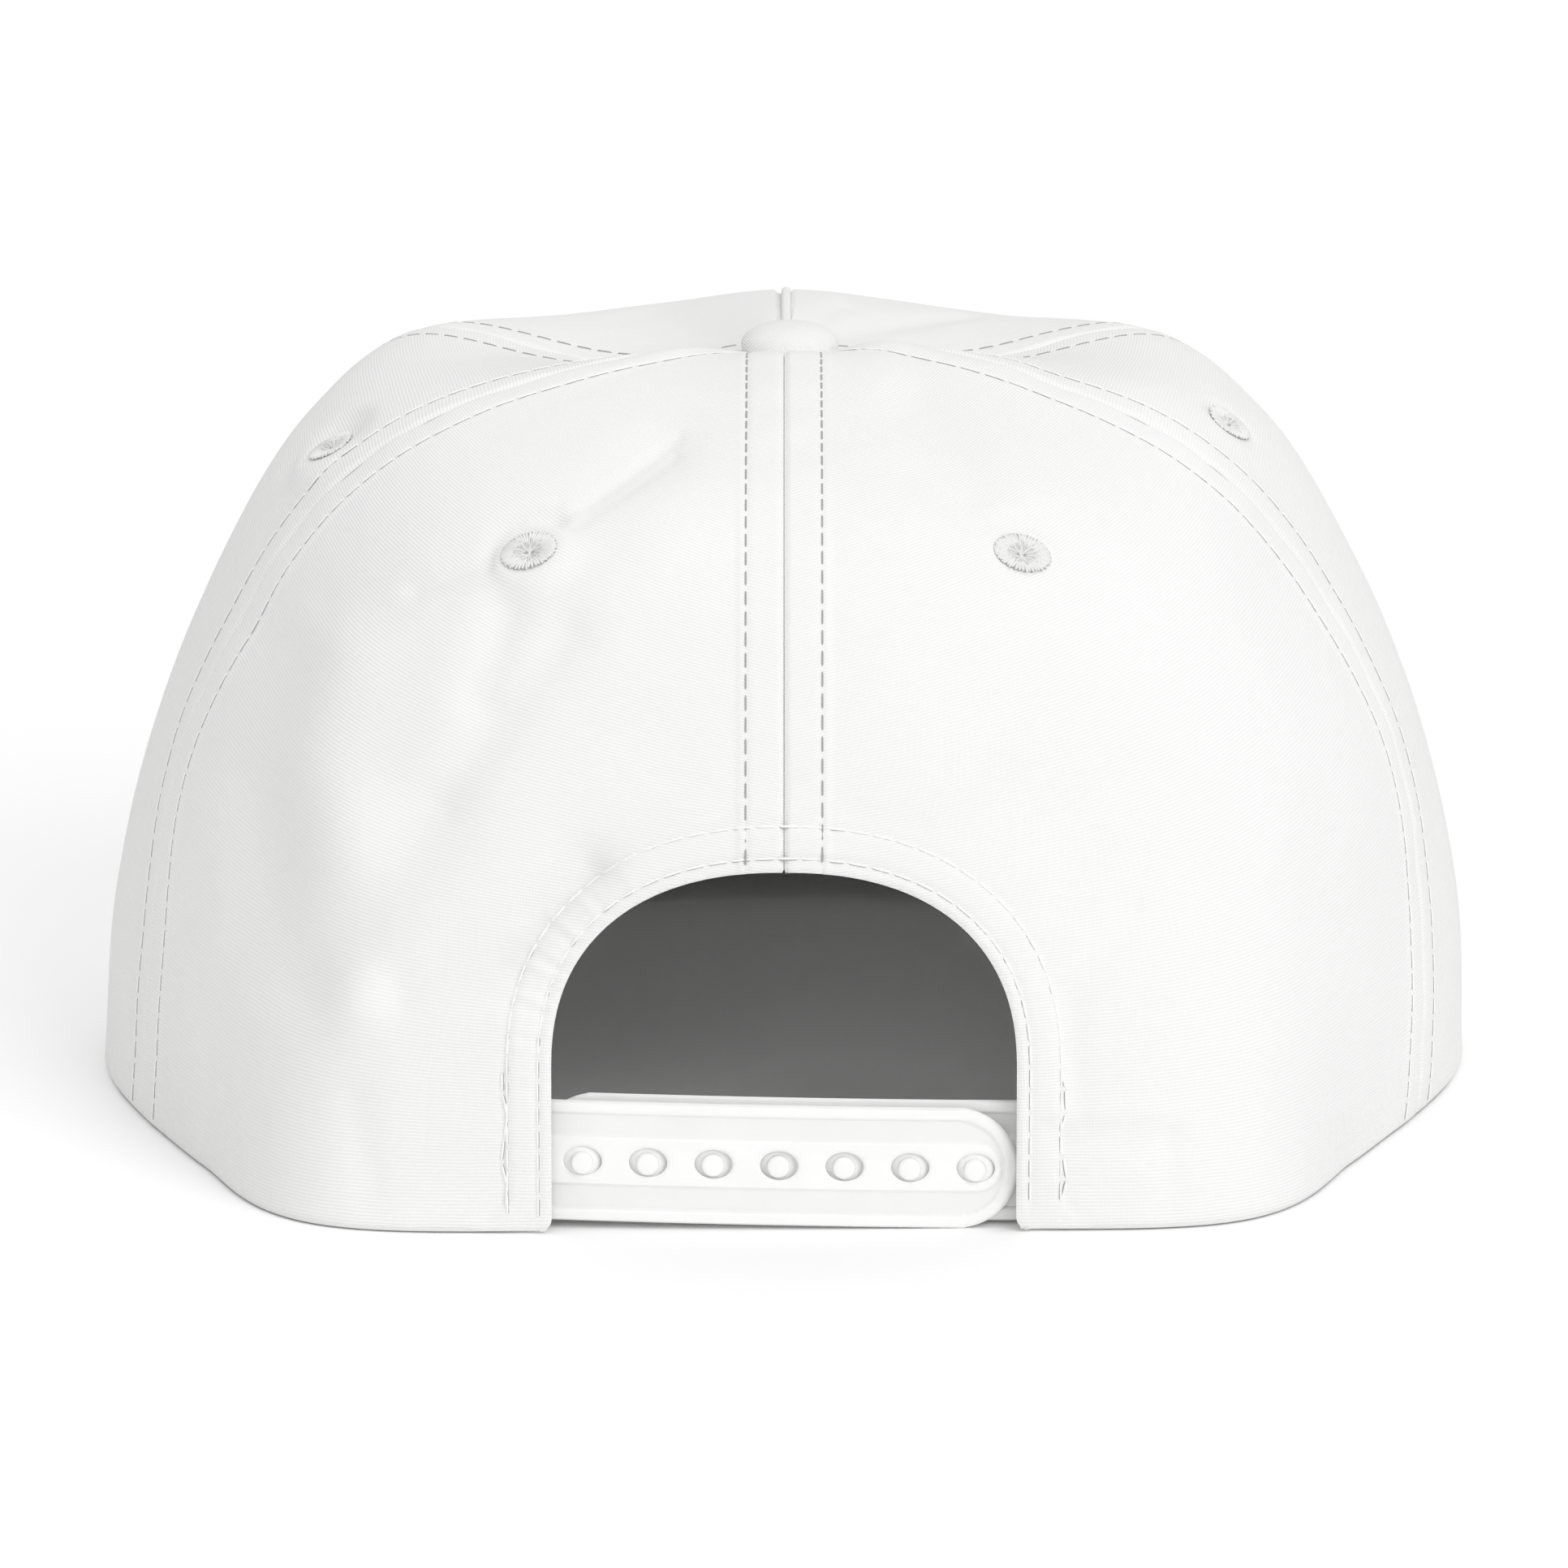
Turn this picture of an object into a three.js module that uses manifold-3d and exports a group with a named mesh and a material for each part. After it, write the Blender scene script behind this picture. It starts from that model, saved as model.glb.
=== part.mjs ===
// A six-panel cloth surf cap with a snap strap at the back, standing on its rim.
// Millimetres, +Z up, the peak towards +Y, the strap towards -Y.
// The origin is on the surface that the cap stands on, under the middle of its bounding box.

import * as THREE from "three";
import { mergeVertices } from "three/addons/utils/BufferGeometryUtils.js";
import Module from "manifold-3d";

const wasm = await Module();
wasm.setup();

// Cloth
const WALL = 1.2;
const SEAM_GAP = 0.3;
const RIB_WIDTH = 1.4;
const RIB_HEIGHT = 0.5;
const LEAN = 0.6;

// Stations round the crown, in degrees from the middle of the back, at the rim and at the top
const STATIONS = [
  { name: "back", rimAngle: 0, topAngle: 0 },
  { name: "back quarter", rimAngle: 20, topAngle: 18 },
  { name: "back corner", rimAngle: 39, topAngle: 34 },
  { name: "back flank", rimAngle: 57, topAngle: 48 },
  { name: "back seam", rimAngle: 78, topAngle: 62 },
  { name: "side", rimAngle: 98, topAngle: 92 },
  { name: "front seam", rimAngle: 124, topAngle: 120 },
  { name: "front quarter", rimAngle: 152, topAngle: 150 },
  { name: "front", rimAngle: 180, topAngle: 180 },
];
const BACK = 0;
const BACK_SEAM = 4;
const FRONT_SEAM = 6;
const FRONT = 8;

// Rings of the crown from the rim to the button, with one radius and one height per station.
// turn is how far a ring's stations have turned from the rim's angles to the top's.
// backSeam, where given, is the back seam's own angle on that ring.
const RINGS = [
  { name: "rim", turn: 0, backSeam: 72.5,
    radius: [82.0, 87.0, 99.5, 92.5, 90.5, 93.3, 90.5, 89.0, 88.5],
    height: [0, 0, 0, 0, 0, 0, 0.6, 3.5, 5.0] },
  { name: "hem", turn: 0.05, backSeam: 72,
    radius: [81.0, 85.8, 95.0, 91.0, 89.3, 91.5, 89.5, 88.5, 88.0],
    height: [25, 25, 25, 25, 25, 25, 25, 25, 25] },
  { name: "waist", turn: 0.15, backSeam: 75.5,
    radius: [77.0, 80.5, 86.5, 85.5, 84.0, 85.6, 85.0, 85.5, 86.0],
    height: [50, 50, 50, 50, 50, 50, 50, 50, 50] },
  { name: "brow", turn: 0.35,
    radius: [68.5, 70.8, 74.5, 75.0, 74.5, 76.2, 77.5, 79.0, 80.0],
    height: [72, 72, 72, 72, 72, 72, 72, 72, 72] },
  { name: "eyelets", turn: 0.6,
    radius: [55.0, 57.0, 59.5, 61.5, 63.0, 65.5, 69.0, 72.5, 73.0],
    height: [88, 88, 88, 88, 88, 88, 88, 88, 88] },
  { name: "shoulder", turn: 0.85,
    radius: [36.0, 38.0, 40.5, 43.5, 47.0, 51.5, 55.0, 53.5, 48.0],
    height: [97.5, 96.5, 96.5, 97.0, 97.5, 96.8, 97.0, 95.2, 98.0] },
  { name: "crown", turn: 1,
    radius: [15.0, 15.5, 16.5, 18.0, 20.0, 24.0, 27.0, 26.0, 25.0],
    height: [102.6, 102.3, 101.9, 101.9, 102.0, 98.4, 95.4, 97.4, 100.6] },
  { name: "button hole", turn: 1,
    radius: [3, 3, 3, 3, 3, 3, 3, 3, 3],
    height: [100, 100, 100, 100, 100, 100, 100, 100, 100] },
];
const TOP_RING = RINGS.length - 1;
const CROWN_TOP = 100;
// The right of the rim is drawn in between two angles, less and less up to a height
const TUCK = { depth: 2.2, fromAngle: 6, toAngle: 94, height: 30 };
const ROWS_PER_RING = 3;
const PANEL_COLUMNS = 10;

// Folds of the soft back panels, drawn as straight strokes on the view from behind.
// x and z are millimetres across and up that view, width is a fold's half width,
// and depth is how far the cloth sinks, or stands proud where depth is negative.
const VIEW_TILT = THREE.MathUtils.degToRad(14);
const VIEW_HEIGHT = 50;
const FOLDS = [
  { name: "left crease", x1: -10, z1: 43, x2: -62, z2: 15, width: 5.5, depth: 1.5 },
  { name: "left hollow", x1: -38, z1: 14, x2: -46, z2: -11, width: 8, depth: 2.2 },
  { name: "left bulge", x1: -57, z1: 4, x2: -52, z2: -24, width: 7, depth: -1.6 },
  { name: "left flank dip", x1: -70, z1: -2, x2: -64, z2: -34, width: 7, depth: 1.8 },
  { name: "arch fold", x1: -44, z1: -32, x2: -26, z2: -21, width: 6, depth: 1.6 },
  { name: "right dent", x1: 15, z1: 43, x2: 26, z2: 30, width: 7, depth: 1.3 },
  { name: "right crease", x1: 26, z1: 24, x2: 46, z2: 9, width: 5, depth: 0.8 },
];

// Opening in the back, its strap, pegs and holes
const ARCH = { halfWidth: 30.3, sideHeight: 22, top: 47.7, roundness: 2.35, steps: 14 };
const STRAP = {
  halfWidth: 8.15, thickness: 1.0, relief: 0.4, border: 1.6, bandHalfWidth: 3.05, step: 0.3,
  bendRadius: 560, slope: -0.02, sewnTo: 46, tip: 30.6,
};
const OUTER_STRAP = { face: -79.6, height: 8.65 };
const INNER_STRAP = { face: -77.9, height: 9.25, tip: -32.5, rampFrom: 32, rampTo: 42, rampOut: 1.5 };
const SNAPS = { count: 7, pitch: 8.55, middle: -0.64, holeHalfWidth: 2.5, holeHalfHeight: 1.95 };
const PEG = { radius: 1.5, top: -79.8, across: -0.1, up: -0.15, sides: 14 };

// Button, eyelets and peak
const BUTTON = { across: 0.8, stemRadius: 1.7, stemBottom: 97.6, seat: 101.4, radius: 6.6, top: 103.9 };
const EYELET = { radius: 3.9, bore: 0.7, sleeve: 1.5, hole: 1.95, height: 0.8, gap: 0.45, sides: 16, stiffTo: 14 };
const EYELETS = [
  { name: "eyelet_back_left", panel: "back_panel_left", side: -1, station: 1.77, ring: 3.77 },
  { name: "eyelet_back_right", panel: "back_panel_right", side: 1, station: 1.63, ring: 3.77 },
  { name: "eyelet_side_left", panel: "side_panel_left", side: -1, station: 4.45, ring: 4.14 },
  { name: "eyelet_side_right", panel: "side_panel_right", side: 1, station: 4.62, ring: 4.34 },
];
const PEAK = {
  halfWidth: 86, rootY: 36, reach: 121, roundness: 2.15, thickness: 2.6,
  floorGap: 0.4, camber: 4.6, tipDrop: 1, fromStation: 5.52, halfColumns: 12, rows: 6,
};
const BACK_DEPTH = 82;
const MIDDLE_Y = (PEAK.rootY + PEAK.reach - BACK_DEPTH) / 2;

const CLOTH = { color: 0xf1f1ef, roughness: 0.85, metalness: 0 };
const PLASTIC = { color: 0xf4f4f2, roughness: 0.35, metalness: 0 };
const THREAD = { color: 0xf5f5f3, roughness: 0.6, metalness: 0 };

// A smooth curve through b and c, with a and d as its outer neighbours
function smooth(a, b, c, d, t) {
  const linear = (c - a) * t;
  const square = (2 * a - 5 * b + 4 * c - d) * t * t;
  const cube = (3 * b - 3 * c + d - a) * t * t * t;
  return (2 * b + linear + square + cube) / 2;
}

function ringAngle(ring, index) {
  const station = STATIONS[index];
  if (index === BACK_SEAM && ring.backSeam) {
    return ring.backSeam;
  }
  return THREE.MathUtils.lerp(station.rimAngle, station.topAngle, ring.turn);
}

// One value of the rings' table. Past the middle of the back or front the table is mirrored,
// and past its first or last ring it is carried on in a straight line.
function tableValue(key, ringIndex, stationIndex) {
  if (ringIndex < 0) {
    return 2 * tableValue(key, 0, stationIndex) - tableValue(key, 1, stationIndex);
  }
  if (ringIndex > TOP_RING) {
    return 2 * tableValue(key, TOP_RING, stationIndex) - tableValue(key, TOP_RING - 1, stationIndex);
  }
  const ring = RINGS[ringIndex];
  const mirrored = stationIndex < BACK || stationIndex > FRONT;
  const index = stationIndex < BACK ? -stationIndex : Math.min(stationIndex, 2 * FRONT - stationIndex);
  if (key !== "angle") {
    return ring[key][index];
  }
  const angle = ringAngle(ring, index);
  if (!mirrored) {
    return angle;
  }
  return stationIndex < BACK ? -angle : 360 - angle;
}

function tableCurve(key, station, ring) {
  const column = Math.min(Math.max(Math.floor(station), BACK), FRONT - 1);
  const row = Math.min(Math.max(Math.floor(ring), 0), TOP_RING - 1);
  const across = station - column;
  const values = [-1, 0, 1, 2].map((up) => {
    const line = [-1, 0, 1, 2].map((along) => tableValue(key, row + up, column + along));
    return smooth(...line, across);
  });
  return smooth(...values, ring - row);
}

function rimTuck(side, degrees, height) {
  const share = (degrees - TUCK.fromAngle) / (TUCK.toAngle - TUCK.fromAngle);
  if (side < 0 || share < 0 || share > 1) {
    return 0;
  }
  const low = Math.max(1 - height / TUCK.height, 0);
  return TUCK.depth * Math.sin(Math.PI * share) * low * low;
}

// A point of the unfolded crown, at a station and a ring. side is 1 for the right and -1 for the left.
function crownPoint(side, station, ring) {
  const degrees = tableCurve("angle", station, ring);
  const angle = THREE.MathUtils.degToRad(degrees);
  const height = Math.max(tableCurve("height", station, ring), 0);
  const belly = Math.sin(Math.PI * Math.min(Math.max(height / CROWN_TOP, 0), 1));
  const lean = side * LEAN * belly * Math.sin(angle);
  const radius = tableCurve("radius", station, ring) + lean - rimTuck(side, degrees, height);
  return new THREE.Vector3(side * radius * Math.sin(angle), -radius * Math.cos(angle), height);
}

function crownNormal(side, station, ring) {
  const small = 0.02;
  const above = Math.min(ring + small, TOP_RING);
  const below = Math.max(ring - small, 0);
  const up = crownPoint(side, station, above).sub(crownPoint(side, station, below));
  const along = crownPoint(side, station + small, ring).sub(crownPoint(side, station - small, ring));
  return along.cross(up).multiplyScalar(side).normalize();
}

// How many stations make one millimetre along a ring
function stationsPerMillimetre(side, station, ring) {
  const small = 0.02;
  const from = crownPoint(side, station - small, ring);
  const to = crownPoint(side, station + small, ring);
  return (2 * small) / from.distanceTo(to);
}

// Depth of the folds at a point of the crown. The stiff thread of an eyelet keeps the cloth round it flat.
function foldDepth(point) {
  if (point.y > 0) {
    return 0;
  }
  let stiffness = 0;
  for (const eyelet of EYELETS) {
    const distance = point.distanceTo(crownPoint(eyelet.side, eyelet.station, eyelet.ring));
    stiffness = Math.max(stiffness, 1 - THREE.MathUtils.smoothstep(distance, EYELET.radius, EYELET.stiffTo));
  }
  const tilt = point.y * Math.sin(VIEW_TILT);
  const seen = new THREE.Vector2(point.x, tilt + (point.z - VIEW_HEIGHT) * Math.cos(VIEW_TILT));
  let depth = 0;
  for (const fold of FOLDS) {
    const start = new THREE.Vector2(fold.x1, fold.z1);
    const stroke = new THREE.Vector2(fold.x2, fold.z2).sub(start);
    const share = seen.clone().sub(start).dot(stroke) / stroke.lengthSq();
    const nearest = start.addScaledVector(stroke, THREE.MathUtils.clamp(share, 0, 1));
    depth += fold.depth * Math.exp(-((seen.distanceTo(nearest) / fold.width) ** 2));
  }
  return depth * (1 - stiffness);
}

// A closed body from two grids of points, one on each side of a wall
function wallGeometry(outer, inner) {
  const rows = outer.length;
  const columns = outer[0].length;
  const positions = [...outer.flat(), ...inner.flat()].flatMap((point) => point.toArray());
  const indices = [];
  const quad = (a, b, c, d) => indices.push(a, b, c, a, c, d);
  const front = (row, column) => row * columns + column;
  const behind = (row, column) => rows * columns + row * columns + column;
  for (let row = 0; row < rows - 1; row += 1) {
    for (let column = 0; column < columns - 1; column += 1) {
      quad(front(row, column), front(row, column + 1), front(row + 1, column + 1), front(row + 1, column));
      quad(behind(row, column), behind(row + 1, column), behind(row + 1, column + 1), behind(row, column + 1));
    }
  }
  const lastRow = rows - 1;
  const lastColumn = columns - 1;
  for (let column = 0; column < lastColumn; column += 1) {
    quad(front(0, column), behind(0, column), behind(0, column + 1), front(0, column + 1));
    quad(front(lastRow, column), front(lastRow, column + 1), behind(lastRow, column + 1), behind(lastRow, column));
  }
  for (let row = 0; row < lastRow; row += 1) {
    quad(front(row, 0), front(row + 1, 0), behind(row + 1, 0), behind(row, 0));
    quad(front(row, lastColumn), behind(row, lastColumn), behind(row + 1, lastColumn), front(row + 1, lastColumn));
  }
  const geometry = new THREE.BufferGeometry();
  geometry.setAttribute("position", new THREE.Float32BufferAttribute(positions, 3));
  geometry.setIndex(indices);
  if (volume(geometry) < 0) {
    geometry.setIndex(indices.reverse());
  }
  return geometry;
}

function volume(geometry) {
  const position = geometry.getAttribute("position");
  const index = geometry.getIndex();
  const corner = (place) => new THREE.Vector3().fromBufferAttribute(position, index.getX(place));
  let total = 0;
  for (let place = 0; place < index.count; place += 3) {
    total += corner(place).dot(corner(place + 1).cross(corner(place + 2)));
  }
  return total;
}

function toSolid(geometry) {
  const bare = geometry.clone();
  bare.deleteAttribute("normal");
  bare.deleteAttribute("uv");
  const merged = mergeVertices(bare);
  return new wasm.Manifold(new wasm.Mesh({
    numProp: 3,
    vertProperties: Float32Array.from(merged.getAttribute("position").array),
    triVerts: Uint32Array.from(merged.getIndex().array),
  }));
}

function toGeometry(solid) {
  const mesh = solid.getMesh();
  const geometry = new THREE.BufferGeometry();
  geometry.setAttribute("position", new THREE.Float32BufferAttribute(mesh.vertProperties, 3));
  geometry.setIndex(Array.from(mesh.triVerts));
  return geometry;
}

// One cloth panel between two seams, from the rim to the hole under the button
function panelGeometry(side, fromStation, toStation) {
  const outer = [];
  const inner = [];
  const rows = TOP_RING * ROWS_PER_RING;
  for (let row = 0; row <= rows; row += 1) {
    const ring = row / ROWS_PER_RING;
    const inset = SEAM_GAP / 2;
    const start = fromStation + inset * stationsPerMillimetre(side, fromStation, ring);
    const perMillimetre = stationsPerMillimetre(side, toStation, ring);
    const end = toStation - inset * perMillimetre;
    const stations = [];
    for (let column = 0; column < PANEL_COLUMNS; column += 1) {
      stations.push(THREE.MathUtils.lerp(start, end, column / PANEL_COLUMNS));
    }
    const ribbed = toStation === FRONT && ring > 1 && ring < TOP_RING - 0.5;
    if (toStation === FRONT) {
      const last = stations[stations.length - 1];
      const ribShare = (RIB_WIDTH / 2) * perMillimetre / (end - last);
      stations.push(THREE.MathUtils.lerp(end, last, Math.min(2 * ribShare, 0.4)));
      stations.push(THREE.MathUtils.lerp(end, last, Math.min(ribShare, 0.2)));
    }
    stations.push(end);
    const outerRow = [];
    const innerRow = [];
    stations.forEach((station, column) => {
      const smoothPoint = crownPoint(side, station, ring);
      const normal = crownNormal(side, station, ring);
      const onRib = ribbed && column >= stations.length - 2;
      const lift = (onRib ? RIB_HEIGHT : 0) - foldDepth(smoothPoint);
      const point = smoothPoint.clone().addScaledVector(normal, row === 0 ? 0 : lift);
      const back = point.clone().addScaledVector(normal, -WALL - (onRib ? RIB_HEIGHT : 0));
      if (row === 0) {
        back.z = point.z;
      }
      outerRow.push(point);
      innerRow.push(back);
    });
    outer.push(outerRow);
    inner.push(innerRow);
  }
  return wallGeometry(outer, inner);
}

// The arched opening in the back as a solid that runs through both back panels
function archCutter() {
  const shape = new THREE.Shape();
  const below = -5;
  shape.moveTo(-ARCH.halfWidth, below);
  shape.lineTo(ARCH.halfWidth, below);
  const power = 2 / ARCH.roundness;
  for (let step = 0; step <= ARCH.steps; step += 1) {
    const angle = (Math.PI * step) / ARCH.steps;
    const across = Math.sign(Math.cos(angle)) * Math.abs(Math.cos(angle)) ** power;
    const up = Math.sin(angle) ** power;
    shape.lineTo(ARCH.halfWidth * across, ARCH.sideHeight + (ARCH.top - ARCH.sideHeight) * up);
  }
  const depth = 40;
  const geometry = new THREE.ExtrudeGeometry(shape, { depth, bevelEnabled: false });
  geometry.rotateX(Math.PI / 2);
  geometry.translate(0, -BACK_DEPTH + depth * 0.75, 0);
  return toSolid(geometry);
}

function alongNormal(geometry, side, eyelet) {
  const normal = crownNormal(side, eyelet.station, eyelet.ring);
  const point = crownPoint(side, eyelet.station, eyelet.ring);
  point.addScaledVector(normal, -foldDepth(point));
  const turn = new THREE.Quaternion().setFromUnitVectors(new THREE.Vector3(0, 1, 0), normal);
  geometry.applyQuaternion(turn);
  geometry.translate(point.x, point.y, point.z);
  return geometry;
}

function eyeletCutter(eyelet) {
  const depth = 6 * WALL;
  const geometry = new THREE.CylinderGeometry(EYELET.hole, EYELET.hole, depth, EYELET.sides);
  return toSolid(alongNormal(geometry, eyelet.side, eyelet));
}

// Thread worked round the edge of a hole: a ring on each face of the cloth, joined through the hole
function eyeletGeometry(eyelet) {
  const face = EYELET.gap;
  const back = -WALL - EYELET.gap;
  const backRadius = EYELET.radius * 0.85;
  const profile = [
    [EYELET.bore, back - EYELET.height],
    [backRadius, back - EYELET.height / 2],
    [backRadius, back],
    [EYELET.sleeve, back],
    [EYELET.sleeve, face],
    [EYELET.radius, face],
    [EYELET.radius * 0.93, face + EYELET.height * 0.6],
    [EYELET.radius * 0.62, face + EYELET.height],
    [EYELET.bore * 1.6, face + EYELET.height * 0.7],
    [EYELET.bore, face],
    [EYELET.bore, back - EYELET.height],
  ].map(([radius, height]) => new THREE.Vector2(radius, height));
  const geometry = new THREE.LatheGeometry(profile, EYELET.sides);
  geometry.deleteAttribute("normal");
  geometry.deleteAttribute("uv");
  return alongNormal(mergeVertices(geometry), eyelet.side, eyelet);
}

// The covered button, with its stem through the hole where the panels meet
function buttonGeometry() {
  const profile = [new THREE.Vector2(0, BUTTON.stemBottom)];
  profile.push(new THREE.Vector2(BUTTON.stemRadius, BUTTON.stemBottom));
  profile.push(new THREE.Vector2(BUTTON.stemRadius, BUTTON.seat));
  profile.push(new THREE.Vector2(BUTTON.radius * 0.96, BUTTON.seat));
  const steps = 6;
  const dome = BUTTON.top - BUTTON.seat;
  for (let step = 1; step < steps; step += 1) {
    const angle = (Math.PI / 2) * (step / steps);
    profile.push(new THREE.Vector2(BUTTON.radius * Math.cos(angle) ** 0.8, BUTTON.seat + dome * Math.sin(angle)));
  }
  profile.push(new THREE.Vector2(0, BUTTON.top));
  const geometry = new THREE.LatheGeometry(profile, 20);
  geometry.rotateX(Math.PI / 2);
  geometry.translate(BUTTON.across, 0, 0);
  geometry.deleteAttribute("normal");
  geometry.deleteAttribute("uv");
  return mergeVertices(geometry);
}

// A strap half: a bent band with a raised border and middle, sewn in at one end and round at the other.
// side is 1 where the round tip points to the right.
function strapGeometry(side, tip, face, heightAt, outwardAt) {
  const { halfWidth, border, bandHalfWidth, step } = STRAP;
  const start = -STRAP.sewnTo;
  const centre = tip - halfWidth;
  const bandEnd = tip - border;
  const columns = [];
  const straightSteps = 12;
  for (let index = 0; index <= straightSteps; index += 1) {
    columns.push({ along: THREE.MathUtils.lerp(start, centre, index / straightSteps), half: halfWidth });
  }
  for (const degrees of [15, 30, 45, 51.5]) {
    const angle = THREE.MathUtils.degToRad(degrees);
    columns.push({ along: centre + halfWidth * Math.sin(angle), half: halfWidth * Math.cos(angle) });
  }
  for (const degrees of [53, 66, 78]) {
    const angle = THREE.MathUtils.degToRad(degrees);
    const along = centre + halfWidth * Math.sin(angle);
    columns.push({ along, half: halfWidth * Math.cos(angle), closed: along > bandEnd - 2 * step });
  }
  const outer = [];
  const inner = [];
  for (const { along, half, closed } of columns) {
    const edge = Math.max(half - border, bandHalfWidth * 0.5 + 3 * step);
    const ledge = Math.min(edge, half - step);
    const band = Math.min(bandHalfWidth, ledge - 3 * step);
    const across = [-half, -ledge, step - ledge, -band - step, -band, band, band + step, ledge - step, ledge, half];
    const raised = [1, 1, 0, 0, 1, 1, 0, 0, 1, 1];
    const x = side * along;
    const bend = (x * x) / (2 * STRAP.bendRadius);
    const y = face + bend + outwardAt(along);
    const outerRow = [];
    const innerRow = [];
    across.forEach((offset, index) => {
      const sunk = closed || raised[index] ? 0 : STRAP.relief;
      const z = heightAt(x) + offset;
      outerRow.push(new THREE.Vector3(x, y + sunk, z));
      innerRow.push(new THREE.Vector3(x, y + STRAP.relief + STRAP.thickness, z));
    });
    outer.push(outerRow);
    inner.push(innerRow);
  }
  return wallGeometry(outer, inner);
}

function snapPlace(index) {
  const x = SNAPS.middle + (index - (SNAPS.count - 1) / 2) * SNAPS.pitch;
  return { x, z: OUTER_STRAP.height + STRAP.slope * x };
}

function rodAlongY(radius, fromY, toY) {
  const geometry = new THREE.CylinderGeometry(radius, radius, toY - fromY, PEG.sides);
  geometry.translate(0, (fromY + toY) / 2, 0);
  return geometry;
}

// The half with the holes, sewn in on the left and lying outside
function outerStrap() {
  const height = (x) => OUTER_STRAP.height + STRAP.slope * x;
  let solid = toSolid(strapGeometry(1, STRAP.tip, OUTER_STRAP.face, height, () => 0));
  for (let index = 0; index < SNAPS.count; index += 1) {
    const { x, z } = snapPlace(index);
    const hole = rodAlongY(1, OUTER_STRAP.face - 3, OUTER_STRAP.face + 5);
    hole.scale(SNAPS.holeHalfWidth, 1, SNAPS.holeHalfHeight);
    hole.translate(x, 0, z);
    solid = solid.subtract(toSolid(hole));
  }
  return toGeometry(solid);
}

// The half with the pegs, sewn in on the right and lying inside
function innerStrap() {
  const { face, height, tip, rampFrom, rampTo, rampOut } = INNER_STRAP;
  const heightAt = (x) => height + STRAP.slope * x;
  const outwardAt = (along) => -rampOut * THREE.MathUtils.smoothstep(-along, rampFrom, rampTo);
  let solid = toSolid(strapGeometry(-1, -tip, face, heightAt, outwardAt));
  for (let index = 0; index < SNAPS.count; index += 1) {
    const { x, z } = snapPlace(index);
    const peg = rodAlongY(PEG.radius, PEG.top, face + STRAP.relief + STRAP.thickness / 2);
    peg.translate(x + PEG.across, 0, z + PEG.up);
    solid = solid.add(toSolid(peg));
  }
  return toGeometry(solid);
}

// The peak: a stiff board that leaves the front of the rim and reaches forward
function peakGeometry() {
  const top = [];
  const bottom = [];
  for (let row = 0; row <= PEAK.rows; row += 1) {
    const outward = row / PEAK.rows;
    const topRow = [];
    const bottomRow = [];
    for (let column = -PEAK.halfColumns; column <= PEAK.halfColumns; column += 1) {
      const share = column / PEAK.halfColumns;
      const side = share < 0 ? -1 : 1;
      const station = THREE.MathUtils.lerp(FRONT, PEAK.fromStation, Math.abs(share));
      const root = crownPoint(side, station, 0);
      root.addScaledVector(new THREE.Vector3(root.x, root.y, 0).normalize(), SEAM_GAP);
      const angle = (Math.PI / 2) * (1 - Math.abs(share));
      const power = 2 / PEAK.roundness;
      const edgeX = side * PEAK.halfWidth * Math.cos(angle) ** power;
      const edgeY = PEAK.rootY + PEAK.reach * Math.sin(angle) ** power;
      const x = THREE.MathUtils.lerp(root.x, edgeX, outward);
      const y = THREE.MathUtils.lerp(root.y, edgeY, outward);
      const hump = 1 - (x / (PEAK.halfWidth + 1)) ** 2;
      const z = PEAK.floorGap + (PEAK.camber - PEAK.tipDrop * outward) * Math.max(hump, 0);
      bottomRow.push(new THREE.Vector3(x, y, z));
      topRow.push(new THREE.Vector3(x, y, z + PEAK.thickness));
    }
    top.push(topRow);
    bottom.push(bottomRow);
  }
  return wallGeometry(top, bottom);
}

const cap = new THREE.Group();
cap.position.y = -MIDDLE_Y;

function addPiece(name, geometry, finish) {
  const mesh = new THREE.Mesh(geometry, new THREE.MeshStandardMaterial(finish));
  mesh.name = name;
  cap.add(mesh);
}

const PANELS = [
  { name: "back_panel", from: BACK, to: BACK_SEAM, arched: true },
  { name: "side_panel", from: BACK_SEAM, to: FRONT_SEAM, arched: false },
  { name: "front_panel", from: FRONT_SEAM, to: FRONT, arched: false },
];
const SIDES = [
  { name: "left", side: -1 },
  { name: "right", side: 1 },
];

for (const panel of PANELS) {
  for (const { name, side } of SIDES) {
    const node = `${panel.name}_${name}`;
    let solid = toSolid(panelGeometry(side, panel.from, panel.to));
    if (panel.arched) {
      solid = solid.subtract(archCutter());
    }
    for (const eyelet of EYELETS.filter((entry) => entry.panel === node)) {
      solid = solid.subtract(eyeletCutter(eyelet));
    }
    addPiece(node, toGeometry(solid), CLOTH);
  }
}
for (const eyelet of EYELETS) {
  addPiece(eyelet.name, eyeletGeometry(eyelet), THREAD);
}
addPiece("button", buttonGeometry(), CLOTH);
addPiece("peak", peakGeometry(), CLOTH);
addPiece("strap_with_holes", outerStrap(), PLASTIC);
addPiece("strap_with_pegs", innerStrap(), PLASTIC);

export default cap;
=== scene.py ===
import math

import bmesh
import bpy
import numpy as np
from mathutils import Matrix, Vector, noise


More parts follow.
